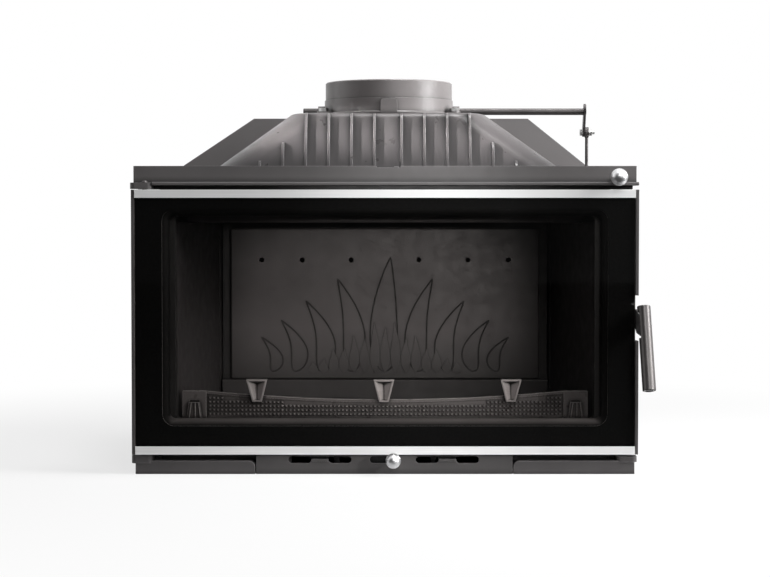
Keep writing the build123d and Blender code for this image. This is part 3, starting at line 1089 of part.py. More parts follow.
with BuildPart() as glass:
    panel(-HALF, HALF, DOOR_BOTTOM + TRIM_T + TRIM_GAP, DOOR_TOP - TRIM_T - TRIM_GAP, FRONT, GLASS_BACK)
    fillet(glass.edges().filter_by(Axis.Y), GLASS_R)
save(glass, "door_glass")


def trim(edge, inward, label):
    """A folded steel channel over one edge of the glass, screwed to the frame behind it."""
    z0, z1 = sorted((edge, edge + inward * TRIM_H))
    web = sorted((edge, edge + inward * TRIM_T))
    with BuildPart() as strip:
        panel(-HALF, HALF, z0, z1, FRONT - TRIM_T, FRONT)
        panel(-HALF, HALF, *web, FRONT, GLASS_BACK)
        panel(-HALF, HALF, z0, z1, GLASS_BACK, DOOR_FRONT)
        for x, z in TRIM_SCREWS:
            if z0 < z < z1:
                rod_y(x, z, GLASS_BACK, TRIM_SCREW + 2 * SCREW_FIT, GASKET_T, Mode.SUBTRACT)
    save(strip, label)


trim(DOOR_TOP, -1, "trim_top")
trim(DOOR_BOTTOM, 1, "trim_bottom")

with BuildPart() as trim_screws:
    for x, z in TRIM_SCREWS:
        rod_y(x, z, GLASS_BACK + CLEAR, TRIM_SCREW, DOOR_BACK - GLASS_BACK - TRIM_SCREW)
        rod_y(x, z, DOOR_BACK - TRIM_SCREW + SCREW_FIT, 2 * TRIM_SCREW, TRIM_SCREW - 2 * CLEAR)
save(trim_screws, "trim_screws")

with BuildPart() as gasket:
    ring(OPEN_HALF + DOOR_ROUND, OPEN_Z[0] - DOOR_ROUND, OPEN_Z[1] + DOOR_ROUND, GASKET_W,
         GLASS_BACK, DOOR_FRONT, DOOR_R + DOOR_ROUND)
save(gasket, "glass_gasket")

with BuildPart() as rope:
    ring(OPEN_HALF + ROPE_INSET, OPEN_Z[0] - ROPE_INSET, OPEN_Z[1] + ROPE_INSET, ROPE_W,
         DOOR_BACK - ROPE_DEEP, DOOR_BACK + DOOR_GAP - CLEAR, DOOR_R + ROPE_INSET)
    fillet(rope.faces().sort_by(Axis.Y)[-1].edges(), 2)
save(rope, "door_seal")

with BuildPart() as pin_top:
    low = DOOR_TOP - PIN_DEEP
    head = LINTEL_BOTTOM + EAR_RISE
    rod_z(HINGE_X, HINGE_Y, low, PIN_D, head - low)
    rod_z(HINGE_X, HINGE_Y, head, PIN_HEAD_D, PIN_HEAD_T)
    chamfer(pin_top.faces().sort_by(Axis.Z)[-1].edges(), PIN_DOME)
save(pin_top, "hinge_pin_top")

with BuildPart() as pin_bottom:
    foot = EAR_LOW_Z[1] - PIN_DEEP + 2
    rod_z(HINGE_X, HINGE_Y, foot, PIN_D, DOOR_BOTTOM + PIN_DEEP - foot)
    rod_z(HINGE_X, HINGE_Y, EAR_LOW_Z[1], PIN_SEAT_D, DOOR_BOTTOM - EAR_LOW_Z[1] - CLEAR)
save(pin_bottom, "hinge_pin_bottom")


# ---- handle and latch ------------------------------------------------------------------
GRIP_PLANE = Plane(origin=GRIP_MID, x_dir=(1, 0, -GRIP_DIR[0] / GRIP_DIR[2]), z_dir=GRIP_DIR)


def grip_y(z):
    """Depth of the grip's axis at a height."""
    return GRIP_MID[1] + (z - GRIP_MID[2]) * GRIP_DIR[1] / GRIP_DIR[2]


with BuildPart() as grip:
    with BuildSketch(GRIP_PLANE):
        Circle(GRIP_D / 2)
    extrude(amount=GRIP_L / 2, both=True)
    fillet(grip.edges().filter_by(GeomType.CIRCLE), GRIP_EDGE)
    # open lower end
    with BuildSketch(GRIP_PLANE.offset(-GRIP_L / 2)):
        Circle(GRIP_D / 2 - GRIP_WALL)
    extrude(amount=GRIP_HOLLOW, mode=Mode.SUBTRACT)
    # slot for the arm's tongue, and the cross pin's hole
    upright = Plane(origin=(0, *GRIP_MID[1:]), x_dir=(1, 0, 0), z_dir=(0, *GRIP_DIR[1:]))
    with BuildSketch(upright.offset(TONGUE_Z[0] - GRIP_MID[2] - GRIP_SLACK)):
        with Locations((ARM_X + ARM_T + SCREW_FIT - GRIP_D, GRIP_D - ARM_REACH)):
            Rectangle(2 * GRIP_D, 2 * GRIP_D)
    extrude(amount=TONGUE_Z[1] - TONGUE_Z[0] + 4 * GRIP_SLACK, mode=Mode.SUBTRACT)
    rod_x(ARM_X - GRIP_D, grip_y(CROSS_Z), CROSS_Z, CROSS_D + 2 * SCREW_FIT, 2 * GRIP_D, Mode.SUBTRACT)
save(grip, "handle_grip")

with BuildPart() as arm:
    with BuildSketch(Plane.YZ.offset(ARM_X)) as outline:
        with BuildLine():
            Polyline((PIVOT_Y, PIVOT_Z + HUB_R), (PIVOT_Y - ARM_NECK_HIGH, ARM_Z[1]),
                     (grip_y(TONGUE_Z[1]) - ARM_REACH + 1, TONGUE_Z[1]),
                     (grip_y(TONGUE_Z[0]) - ARM_REACH + 1, TONGUE_Z[0]),
                     (PIVOT_Y - ARM_NECK_LOW, ARM_Z[0]), (PIVOT_Y, PIVOT_Z - HUB_R),
                     (PIN_Y, PIN_Z - LATCH_D / 2), (PIN_Y, PIN_Z + LATCH_D / 2), close=True)
        make_face()
        with Locations((PIVOT_Y, PIVOT_Z)):
            Circle(HUB_R)
        with Locations((PIN_Y, PIN_Z)):
            Circle(LATCH_D / 2 + LATCH_LAND)
        with Locations((PIVOT_Y, PIVOT_Z)):
            Circle(PIVOT_D / 2 + RUNNING, mode=Mode.SUBTRACT)
        with Locations((PIN_Y, PIN_Z)):
            Circle(LATCH_SPIGOT / 2 + SCREW_FIT, mode=Mode.SUBTRACT)
        with Locations((grip_y(CROSS_Z), CROSS_Z)):
            Circle(CROSS_D / 2 + SCREW_FIT, mode=Mode.SUBTRACT)
    extrude(amount=ARM_T)
save(arm, "handle_arm")

with BuildPart() as cross_pin:
    rod_x(ARM_X, grip_y(CROSS_Z), CROSS_Z, CROSS_D, GRIP_MID[0] + GRIP_D / 2 - 1 - ARM_X)
save(cross_pin, "grip_pin")

with BuildPart() as pivot:
    head_x = ARM_X + ARM_T + CLEAR
    rod_x(EDGE_X - PIVOT_DEEP + 1, PIVOT_Y, PIVOT_Z, PIVOT_D, head_x - EDGE_X + PIVOT_DEEP - 1)
    with BuildSketch(Plane.YZ.offset(head_x)):
        with Locations((PIVOT_Y, PIVOT_Z)):
            RegularPolygon(PIVOT_D * HEX, 6, major_radius=False)
    extrude(amount=PIVOT_HEAD_T)
    chamfer(pivot.faces().sort_by(Axis.X)[-1].edges(), BOLT_EDGE)
save(pivot, "handle_pivot_bolt")

with BuildPart() as latch_pin:
    rod_x(HALF - LATCH_SIDE, PIN_Y, PIN_Z, LATCH_D, ARM_X - HALF + LATCH_SIDE)
    chamfer(latch_pin.faces().sort_by(Axis.X)[0].edges(), LATCH_EDGE)
    rod_x(ARM_X, PIN_Y, PIN_Z, LATCH_SPIGOT, ARM_T)
save(latch_pin, "latch_pin")


# ---- screws of the carcass -------------------------------------------------------------
with BuildPart() as frame_screws:
    for s in (-1, 1):
        for z in FRAME_SCREW_Z:
            rod_y(s * WALL_MID, z, FACE_FRONT + HEAD_SINK, CASE_HEAD, CASE_HEAD_T)
            rod_y(s * WALL_MID, z, FACE_FRONT + HEAD_SINK, CASE_SCREW, CASE_SCREW_L)
save(frame_screws, "frame_screws")

with BuildPart() as back_bolts:
    for s in (-1, 1):
        for z in FRAME_SCREW_Z:
            rod_y(s * WALL_MID, z, BACK_OUT - CASE_SCREW_L, CASE_SCREW, CASE_SCREW_L)
            with BuildSketch(front_plane(BACK_OUT)) as head:
                with Locations((s * WALL_MID, z)):
                    RegularPolygon(CASE_HEX / 2, 6, major_radius=False)
            extrude(amount=-CASE_HEAD_T)
save(back_bolts, "back_bolts")

with BuildPart() as roof_screws:
    for s in (-1, 1):
        for y in ROOF_SCREW_Y:
            rod_z(s * WALL_MID, y, ROOF_Z - CASE_SCREW_L, CASE_SCREW, CASE_SCREW_L - HEAD_SINK)
            rod_z(s * WALL_MID, y, ROOF_Z - HEAD_SINK - CASE_HEAD_T, CASE_HEAD, CASE_HEAD_T)
save(roof_screws, "roof_screws")
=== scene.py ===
import bpy
import bmesh
import math
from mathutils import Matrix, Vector


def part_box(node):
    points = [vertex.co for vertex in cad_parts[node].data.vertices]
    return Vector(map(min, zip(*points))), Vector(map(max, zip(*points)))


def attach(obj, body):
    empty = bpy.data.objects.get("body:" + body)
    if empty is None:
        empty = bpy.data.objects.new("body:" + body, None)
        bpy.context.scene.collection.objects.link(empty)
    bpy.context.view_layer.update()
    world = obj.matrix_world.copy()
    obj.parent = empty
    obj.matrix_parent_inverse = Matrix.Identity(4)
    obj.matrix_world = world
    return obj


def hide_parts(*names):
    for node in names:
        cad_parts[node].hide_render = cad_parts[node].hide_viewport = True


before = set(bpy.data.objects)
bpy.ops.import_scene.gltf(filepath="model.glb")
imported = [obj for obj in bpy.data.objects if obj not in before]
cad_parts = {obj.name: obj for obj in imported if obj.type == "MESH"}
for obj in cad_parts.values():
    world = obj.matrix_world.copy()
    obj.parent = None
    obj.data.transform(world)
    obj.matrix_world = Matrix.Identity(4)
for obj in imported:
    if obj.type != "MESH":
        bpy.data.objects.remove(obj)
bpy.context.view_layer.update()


# ---- The viewpoint ---------------------------------------------------------------------------
# The photograph looks straight at the glass through a long lens, a little above the middle of
# the door, with the camera tipped down by two degrees so that the hood's crown shows.
CAMERA_FROM_GLASS, CAMERA_HEIGHT, CAMERA_TIP = 2.836, 0.3745, 2.0
LENS, FILM = 89.8, 36.0      # both in millimetres

camera = bpy.data.objects.new("camera", bpy.data.cameras.new("camera"))
camera.data.sensor_width = FILM
camera.data.lens = LENS
camera.location = (0.0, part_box("door_glass")[0].y - CAMERA_FROM_GLASS, CAMERA_HEIGHT)
camera.rotation_euler = (math.radians(90.0 - CAMERA_TIP), 0.0, 0.0)
bpy.context.scene.collection.objects.link(camera)
bpy.context.scene.camera = camera
bpy.context.scene.view_settings.view_transform = "Standard"


# ---- The studio ------------------------------------------------------------------------------
# A white sweep all round, with soft boxes above, in front and at both sides, a strip lamp and two
# spot lamps. The side that the glass faces is kept dark, as photographers do with a black cloth,
# so that the print stays black.
WHITE, CLOTH = (1.0, 1.0, 1.0, 1.0), (0.03, 0.03, 0.03, 1.0)
CLOTH_WAY = (-0.42, -0.90, 0.10)           # it hangs in front, a little to the left
CLOTH_EDGE, CLOTH_MIDDLE = 0.62, 0.88      # cosines off that way
SWEEP_LEVEL, SWEEP_MIRRORED = 0.12, 1.0    # how much of the white lights and is mirrored


def between(tree, value, low, high, start=0.3, stop=0.7, smooth=False):
    """A value that runs from start to stop, or a noise, spread over low to high."""
    spread = tree.nodes.new("ShaderNodeMapRange")
    if smooth:
        spread.interpolation_type = "SMOOTHSTEP"
    for socket, number in (("From Min", start), ("From Max", stop), ("To Min", low), ("To Max", high)):
        spread.inputs[socket].default_value = number
    tree.links.new(value, spread.inputs["Value"])
    return spread.outputs["Result"]


def blended(tree, factor, first, second):
    """A colour between two colours, each given or coming from another node."""
    mix = tree.nodes.new("ShaderNodeMix")
    mix.data_type = "RGBA"
    tree.links.new(factor, mix.inputs["Factor"])
    for socket, colour in (("A", first), ("B", second)):
        if isinstance(colour, tuple):
            mix.inputs[socket].default_value = colour
        else:
            tree.links.new(colour, mix.inputs[socket])
    return mix.outputs["Result"]


def reckoned(tree, operation, *terms):
    """The result of a sum on one or two terms, each a number or another node's value."""
    node = tree.nodes.new("ShaderNodeMath")
    node.operation = operation
    for socket, term in zip(node.inputs, terms):
        if isinstance(term, float):
            socket.default_value = term
        else:
            tree.links.new(term, socket)
    return node.outputs["Value"]


def overlaid(tree, share, under, over):
    """One shader laid over another, by a share."""
    mix = tree.nodes.new("ShaderNodeMixShader")
    for socket, source in zip(mix.inputs, (share, under, over)):
        tree.links.new(source, socket)
    return mix.outputs["Shader"]


def position(tree):
    """The place of a point in the shared frame, as separate X, Y and Z."""
    place = tree.nodes.new("ShaderNodeSeparateXYZ")
    tree.links.new(tree.nodes.new("ShaderNodeTexCoord").outputs["Object"], place.inputs["Vector"])
    return place.outputs


world = bpy.data.worlds.new("sweep")
bpy.context.scene.world = world
world.use_nodes = True
tree = world.node_tree
facing = tree.nodes.new("ShaderNodeVectorMath")
facing.operation = "DOT_PRODUCT"
facing.inputs[1].default_value = CLOTH_WAY
tree.links.new(tree.nodes.new("ShaderNodeTexCoord").outputs["Generated"], facing.inputs[0])
cloth = between(tree, facing.outputs["Value"], 0, 1, CLOTH_EDGE, CLOTH_MIDDLE, smooth=True)
path = tree.nodes.new("ShaderNodeLightPath")
lighting = tree.nodes.new("ShaderNodeBackground")
tree.links.new(blended(tree, cloth, WHITE, CLOTH), lighting.inputs["Color"])
tree.links.new(between(tree, path.outputs["Is Glossy Ray"], SWEEP_LEVEL, SWEEP_MIRRORED, 0, 1),
               lighting.inputs["Strength"])
backdrop = tree.nodes.new("ShaderNodeBackground")
backdrop.inputs["Color"].default_value = WHITE
seen = reckoned(tree, "MAXIMUM", path.outputs["Is Camera Ray"], path.outputs["Is Transmission Ray"])
tree.links.new(overlaid(tree, seen, lighting.outputs["Background"], backdrop.outputs["Background"]),
               tree.nodes["World Output"].inputs["Surface"])

# the paper floor keeps the insert's shadow near it and runs out to pure white
FLOOR_HALF, PAPER = 9.0, (0.82, 0.82, 0.82, 1.0)
WHITER_NEAR, WHITER_FAR = 0.72, 1.0        # how much of the paper shows as pure white
NEAR, FAR = 0.5, 1.6
CLOTH_STARTS, CLOTH_LIES = -0.20, -0.32    # where the black cloth begins in front of the glass
SQUARE = ((-1, -1), (1, -1), (1, 1), (-1, 1))
floor_mesh = bpy.data.meshes.new("floor")
floor_mesh.from_pydata([(x * FLOOR_HALF, y * FLOOR_HALF, 0) for x, y in SQUARE], [], [(0, 1, 2, 3)])
floor = bpy.data.objects.new("floor", floor_mesh)
bpy.context.scene.collection.objects.link(floor)
paper = bpy.data.materials.new("white_paper")
paper.use_nodes = True
tree = paper.node_tree
path = tree.nodes.new("ShaderNodeLightPath")
matt = tree.nodes.new("ShaderNodeBsdfDiffuse")
matt.inputs["Color"].default_value = PAPER
glow = tree.nodes.new("ShaderNodeEmission")
away = tree.nodes.new("ShaderNodeVectorMath")
away.operation = "LENGTH"
tree.links.new(tree.nodes.new("ShaderNodeTexCoord").outputs["Object"], away.inputs[0])
whiter = between(tree, away.outputs["Value"], WHITER_NEAR, WHITER_FAR, NEAR, FAR, smooth=True)
bright = overlaid(tree, reckoned(tree, "MULTIPLY", path.outputs["Is Camera Ray"], whiter),
                  matt.outputs["BSDF"], glow.outputs["Emission"])

# what the glass mirrors of the floor is the black cloth that lies in front of it
black = tree.nodes.new("ShaderNodeBsdfDiffuse")
black.inputs["Color"].default_value = CLOTH
covered = between(tree, position(tree)["Y"], 0, 1, CLOTH_STARTS, CLOTH_LIES, smooth=True)
unseen = reckoned(tree, "SUBTRACT", 1.0, path.outputs["Is Camera Ray"])
tree.links.new(overlaid(tree, reckoned(tree, "MULTIPLY", unseen, covered), bright, black.outputs["BSDF"]),
               tree.nodes["Material Output"].inputs["Surface"])
floor_mesh.materials.append(paper)


def hang(name, light, place, aim):
    """Hang a lamp at a place, turned to a point and itself out of sight."""
    lamp = bpy.data.objects.new(name, light)
    lamp.location = place
    lamp.rotation_euler = (Vector(aim) - Vector(place)).to_track_quat("-Z", "Y").to_euler()
    lamp.visible_camera = False
    bpy.context.scene.collection.objects.link(lamp)


def soft_box(name, place, aim, watts, width, height, grid=180.0):
    """A soft box whose honeycomb grid lets the light out within so many degrees."""
    box = bpy.data.lights.new(name, "AREA")
    box.shape = "RECTANGLE"
    box.size = width
    box.size_y = height
    box.spread = math.radians(grid)
    box.energy = watts
    hang(name, box, place, aim)


def spot_lamp(name, place, aim, watts, cone, bulb):
    """A spot lamp with a bulb of some radius and a cone of so many degrees, soft to its middle."""
    beam = bpy.data.lights.new(name, "SPOT")
    beam.energy = watts
    beam.spot_size = math.radians(cone)
    beam.spot_blend = 1.0
    beam.shadow_soft_size = bulb
    hang(name, beam, place, aim)


soft_box("left_box", place=(-1.8, 0.3, 1.0), aim=(0, 0, 0.5), watts=3, width=0.7, height=0.7)
soft_box("right_box", place=(1.7, -0.5, 1.1), aim=(0.1, 0, 0.45), watts=50, width=0.8, height=0.8)
soft_box("front_box", place=(0.5, -2.5, 1.7), aim=(0, 0, 0.4), watts=19, width=0.9, height=0.9)
soft_box("top_box", place=(0.3, -0.2, 2.3), aim=(0, 0, 0.5), watts=20, width=0.6, height=0.6)
# a low strip skims the hood from the left, so that each fin throws its shadow beside it
soft_box("fin_strip", place=(-1.15, -0.85, 0.60), aim=(0.0, -0.12, 0.497), watts=0.165,
         width=0.26, height=0.03, grid=4)
# one spot reaches through the glass to the back of the fire chamber, and one skims the log guard
spot_lamp("chamber_spot", place=(0.42, -1.9, 0.47), aim=(0.0, 0.0, 0.252), watts=72, cone=17, bulb=0.05)
spot_lamp("hearth_spot", place=(1.45, -1.25, 0.42), aim=(-0.02, -0.16, 0.10), watts=80, cone=14, bulb=0.04)


# ---- The carcass castings --------------------------------------------------------------------
# Base tray, front frame, side walls, back wall, top plate and latch keeper are grey iron cast in
# sand, shot-blasted and sprayed with matt heat-proof paint, so a fine sand skin shows through it.
PAINT_GREY, PAINT_WEAR_AND_HIGHLIGHT = (0.118, 0.111, 0.111, 1.0), (0.36, 0.345, 0.345, 1.0)
BASE_SHADED_GREY, BASE_WEAR_AND_HIGHLIGHT = (0.062, 0.057, 0.058, 1.0), (0.34, 0.325, 0.325, 1.0)
OPENING_SHADE_BLACK = (0.006, 0.0056, 0.0056, 1.0)
CLOUDS, PATCHES, SAND = (9, 4), (60, 3), (850, 4)     # grains to the metre, and their fineness
DARKER, LIGHTER, CORNER_SHADE = 0.86, 1.12, 0.22             # against the paint's own tone
WEAR_AND_HIGHLIGHT_SHARE, WEAR_AND_HIGHLIGHT_REACH, GLOSS_SWING = 0.7, 1.6, 0.07
EDGE_TURN, FLAT_TURN = 0.86, 0.995                    # cosines between eased and true surface
CAST_ROUGH, CAST_SKIN, CAST_EASE = 0.50, 0.00022, 0.0008


def new_finish(name, colour, rough, metal=0.0):
    """A material with a plain shader, and its node tree to add grain to."""
    finish = bpy.data.materials.new(name)
    finish.use_nodes = True
    shader = finish.node_tree.nodes["Principled BSDF"]
    shader.inputs["Base Color"].default_value = colour
    shader.inputs["Roughness"].default_value = rough
    shader.inputs["Metallic"].default_value = metal
    return finish, finish.node_tree, shader


def grain(tree, per_metre, detail, stretch=(1.0, 1.0, 1.0)):
    """Noise with so many grains to the metre, drawn out along an axis where stretch is small."""
    drawn = tree.nodes.new("ShaderNodeMapping")
    drawn.inputs["Scale"].default_value = stretch
    tree.links.new(tree.nodes.new("ShaderNodeTexCoord").outputs["Object"], drawn.inputs["Vector"])
    cloud = tree.nodes.new("ShaderNodeTexNoise")
    cloud.inputs["Scale"].default_value = per_metre
    cloud.inputs["Detail"].default_value = detail
    tree.links.new(drawn.outputs["Vector"], cloud.inputs["Vector"])
    return cloud.outputs["Fac"]


def eased_edges(tree, radius):
    """The surface normal with its sharp edges rounded by a radius."""
    ease = tree.nodes.new("ShaderNodeBevel")
    ease.samples = 4
    ease.inputs["Radius"].default_value = radius
    return ease.outputs["Normal"]


def edge_mark(tree, radius):
    """1 along sharp edges and 0 on flat faces."""
    turned = tree.nodes.new("ShaderNodeVectorMath")
    turned.operation = "DOT_PRODUCT"
    tree.links.new(eased_edges(tree, radius), turned.inputs[0])
    tree.links.new(tree.nodes.new("ShaderNodeNewGeometry").outputs["Normal"], turned.inputs[1])
    return between(tree, turned.outputs["Value"], 1, 0, EDGE_TURN, FLAT_TURN)


def bumped(tree, shader, height, depth, normal=None):
    """Let a height stand out of the surface by a depth in metres."""
    bump = tree.nodes.new("ShaderNodeBump")
    bump.inputs["Distance"].default_value = depth
    tree.links.new(height, bump.inputs["Height"])
    if normal is not None:
        tree.links.new(normal, bump.inputs["Normal"])
    tree.links.new(bump.outputs["Normal"], shader.inputs["Normal"])


def nooks(tree, reach, shut):
    """1 on open faces and 0 in corners, within a reach, that see no more than a shut share."""
    shelter = tree.nodes.new("ShaderNodeAmbientOcclusion")
    shelter.samples = 8
    shelter.inputs["Distance"].default_value = reach
    return between(tree, shelter.outputs["AO"], 0, 1, shut, 1)


def toned(colour, share):
    """A colour made darker or lighter by a share."""
    return tuple(part * share for part in colour[:3]) + (1.0,)


def sand_cast(name, grey, wear_and_highlight, rough=CAST_ROUGH, skin=CAST_SKIN, ease=CAST_EASE, nook=0.01, shut=0.5):
    """Painted cast iron: cloudy tone, sandy skin, edges worn and lightened as painted highlight, and painted
    shade in corners.
    """
    finish, tree, shader = new_finish(name, grey, rough)
    cloudy = blended(tree, between(tree, grain(tree, *CLOUDS), 0, 1), toned(grey, DARKER),
                     toned(grey, LIGHTER))
    # the edges are lighter both as worn paint and as a painted highlight
    worn_and_lit = between(tree, edge_mark(tree, ease * WEAR_AND_HIGHLIGHT_REACH), 0, WEAR_AND_HIGHLIGHT_SHARE, 0, 1)
    tinted = blended(tree, worn_and_lit, cloudy, wear_and_highlight)
    # painted shade: corners and recesses are darkened where little light reaches them
    tree.links.new(blended(tree, nooks(tree, nook, shut), toned(grey, CORNER_SHADE), tinted),
                   shader.inputs["Base Color"])
    tree.links.new(between(tree, grain(tree, *PATCHES), rough - GLOSS_SWING, rough + GLOSS_SWING),
                   shader.inputs["Roughness"])
    bumped(tree, shader, grain(tree, *SAND), skin, eased_edges(tree, ease))
    return finish


def paint_shade(finish, shade_colour, half, low, high, soft, within=True):
    """Darken a finish as painted shade within (or else outside) a half width and two heights, with a soft
    edge.
    """
    tree = finish.node_tree
    shader = tree.nodes["Principled BSDF"]
    painted = shader.inputs["Base Color"].links[0].from_socket
    place = position(tree)
    reached = between(tree, reckoned(tree, "ABSOLUTE", place["X"]), 1, 0, half, half + soft)
    for limit in (between(tree, place["Z"], 0, 1, low - soft, low),
                  between(tree, place["Z"], 1, 0, high, high + soft)):
        reached = reckoned(tree, "MULTIPLY", reached, limit)
    first, second = (painted, shade_colour) if within else (shade_colour, painted)
    tree.links.new(blended(tree, reached, first, second), shader.inputs["Base Color"])


def dress(finish, *names):
    """Give CAD pieces a finish."""
    for name in names:
        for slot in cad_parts[name].material_slots:
            slot.material = finish


def new_piece(name, shape, *finishes):
    """A piece made of a finished shape, which wears its finishes."""
    mesh = bpy.data.meshes.new(name)
    shape.to_mesh(mesh)
    shape.free()
    for finish in finishes:
        mesh.materials.append(finish)
    piece = bpy.data.objects.new(name, mesh)
    bpy.context.scene.collection.objects.link(piece)
    return piece


stove_paint = sand_cast("stove_paint", PAINT_GREY, PAINT_WEAR_AND_HIGHLIGHT)
dress(stove_paint, "side_wall_left", "side_wall_right", "back_wall", "top_plate", "latch_keeper")
# painted shade: the base tray has a much darker grey than the other castings, as it lies in shade
base_shaded_paint = sand_cast("base_shaded_paint", BASE_SHADED_GREY, BASE_WEAR_AND_HIGHLIGHT, rough=0.52, ease=0.0010, nook=0.006)
dress(base_shaded_paint, "base_casting")

# painted shade: the front frame's opening, behind the glass, is painted black where it lies in shade
frame_paint = sand_cast("frame_paint", PAINT_GREY, PAINT_WEAR_AND_HIGHLIGHT)
paint_shade(frame_paint, OPENING_SHADE_BLACK, half=0.328, low=0.068, high=0.414, soft=0.003)
dress(frame_paint, "front_frame")

# four lips of the same casting close the corners behind the gap round the door
LIP_IN, LIP_OUT, LIP_DEEP, LIP_EDGE = 0.334, 0.3685, 0.010, 0.0008
LIP_FOOT, LIP_FORWARD, LIP_CLEAR = 0.0192, 0.012, 0.0008
LEDGE_UP, LIP_LET_IN = 0.0063, 0.0004      # the ledge's underside above the door, and the lip in it
door_foot, door_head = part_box("door_frame")[0].z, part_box("door_frame")[1].z
lip_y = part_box("side_wall_left")[0].y - LIP_FORWARD + LIP_DEEP / 2
lips = bmesh.new()
for side in (-1, 1):
    for low, high in ((LIP_FOOT, door_foot - LIP_CLEAR),
                      (door_head + LIP_CLEAR, door_head + LEDGE_UP + LIP_LET_IN)):
        bar = bmesh.ops.create_cube(lips, size=1.0)["verts"]
        bmesh.ops.scale(lips, verts=bar, vec=(LIP_OUT - LIP_IN, LIP_DEEP, high - low))
        bmesh.ops.translate(lips, verts=bar, vec=(side * (LIP_OUT + LIP_IN) / 2, lip_y, (low + high) / 2))
bmesh.ops.bevel(lips, geom=list(lips.edges), offset=LIP_EDGE, segments=2, affect="EDGES")
corner_lips = new_piece("corner_lips", lips, stove_paint)
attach(corner_lips, "carcass")


# ---- Screws, bolts and pins ------------------------------------------------------------------
# Machine screws, hexagon bolts and plain pins hold the castings together. They are zinc-plated
# steel, which is satin, a little mottled and finely marked by the thread roller.
def mottled(name, dark, light, clouds, rough, patches, skin=None, depth=0.0, ease=0.0, metal=0.0):
    """A finish clouded between two tones and two degrees of roughness, with a skin if one is given."""
    middle = tuple((one + other) / 2 for one, other in zip(dark, light))
    finish, tree, shader = new_finish(name, middle, sum(rough) / 2, metal)
    tree.links.new(blended(tree, between(tree, grain(tree, *clouds), 0, 1), dark, light),
                   shader.inputs["Base Color"])
    tree.links.new(between(tree, grain(tree, *patches), *rough), shader.inputs["Roughness"])
    if skin is not None:
        bumped(tree, shader, grain(tree, *skin), depth, eased_edges(tree, ease))
    return finish


zinc = mottled("zinc_plate", (0.40, 0.40, 0.40, 1.0), (0.56, 0.56, 0.55, 1.0), clouds=(420, 3),
               rough=(0.28, 0.44), patches=(900, 2), skin=(1500, 2), depth=0.00004, ease=0.0003, metal=1.0)
dress(zinc, "frame_screws", "back_bolts", "roof_screws", "shield_spacers", "collar_bolts",
      "disc_screws", "cover_screws", "trim_screws", "crank_bolt", "crank_nut", "grip_pin",
      "handle_pivot_bolt", "latch_pin", "slider_stem")


# ---- Rear heat shield and sheet parts --------------------------------------------------------
# The shield, upper baffle, ash pan and slider guides are cut from steel sheet, folded and sprayed
# with the same paint, which lies smoother on sheet and shows faint rolling lines.
sheet_paint = mottled("sheet_paint", (0.135, 0.127, 0.127, 1.0), (0.165, 0.156, 0.156, 1.0), clouds=(7, 3),
                      rough=(0.42, 0.54), patches=(40, 3, (0.15, 1, 1)), skin=(1400, 3), depth=0.00008,
                      ease=0.0005)
dress(sheet_paint, "rear_heat_shield", "upper_baffle", "ash_pan", "slider_guides")


# ---- Fire chamber linings --------------------------------------------------------------------
# Loose iron plates that take the heat: two side linings, the back lining with its air holes and
# flame relief, its ledge, the air box, hearth plate, grate and lower baffle. All are bare iron; side
# linings, ledge and air box are near black as painted shade, as are the back lining's edges.
lining_iron = sand_cast("lining_iron", (0.052, 0.046, 0.048, 1.0), (0.12, 0.11, 0.11, 1.0), rough=0.55,
                        skin=0.00026, ease=0.0010, nook=0.02)
dress(lining_iron, "hearth_plate", "grate", "lower_baffle")
shade_black_iron = sand_cast("shade_black_iron", (0.030, 0.027, 0.028, 1.0), (0.10, 0.095, 0.095, 1.0), rough=0.55,
                      skin=0.0001, ease=0.0003)
dress(shade_black_iron, "side_lining_left", "side_lining_right", "lining_ledge", "rear_air_box")

LINING_EDGE_SHADE = (0.022, 0.020, 0.020, 1.0)
SHADE_SIDE, SHADE_FOOT, SHADE_HEAD, SHADE_SOFT = 0.045, 0.085, 0.055, 0.09     # in from the plate's edges
lining_low, lining_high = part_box("back_lining")
relief_iron = sand_cast("relief_iron", (0.122, 0.110, 0.113, 1.0), (0.36, 0.335, 0.34, 1.0), ease=0.0006,
                        nook=0.005)
# painted shade: the back lining darkens towards its edges
paint_shade(relief_iron, LINING_EDGE_SHADE, half=lining_high.x - SHADE_SIDE, low=lining_low.z + SHADE_FOOT,
       high=lining_high.z - SHADE_HEAD, soft=SHADE_SOFT, within=False)
dress(relief_iron, "back_lining")

# round the bank of small flames stands a fan of tall ones, cast as fine beads, near black as painted shadow
# lines
FAN = ((0.0, 0.188, 0.030, 0.004), (0.056, 0.152, 0.024, 0.010), (0.104, 0.116, 0.021, 0.012),
       (0.147, 0.084, 0.018, 0.011), (0.184, 0.056, 0.014, 0.009))    # place, height, half width, lean
FAN_FOOT, BEAD_HALF, FLAME_STEPS, SMALL_RELIEF = 0.013, 0.0011, 20, 0.0016
TIP_DRAWN, BELLY_DRAWN, TIP_SWAY, BELLY_SWAY = 0.35, 0.25, 2.2, 0.9
fan = bpy.data.curves.new("flame_fan", "CURVE")
fan.dimensions = "3D"
fan.bevel_depth = BEAD_HALF
fan.bevel_resolution = 2


def flame_point(place, height, half, lean, turn):
    """A point of a flame's outline, round below and drawn out to a leaning tip."""
    rise = (1 - math.cos(turn)) / 2
    belly = half * math.sin(turn) * (1 - rise) ** TIP_DRAWN * (1 - BELLY_DRAWN * rise)
    sway = lean * (TIP_SWAY * rise * rise - BELLY_SWAY * math.sin(math.pi * rise))
    return place + belly + sway, lining_low.z + FAN_FOOT + height * rise


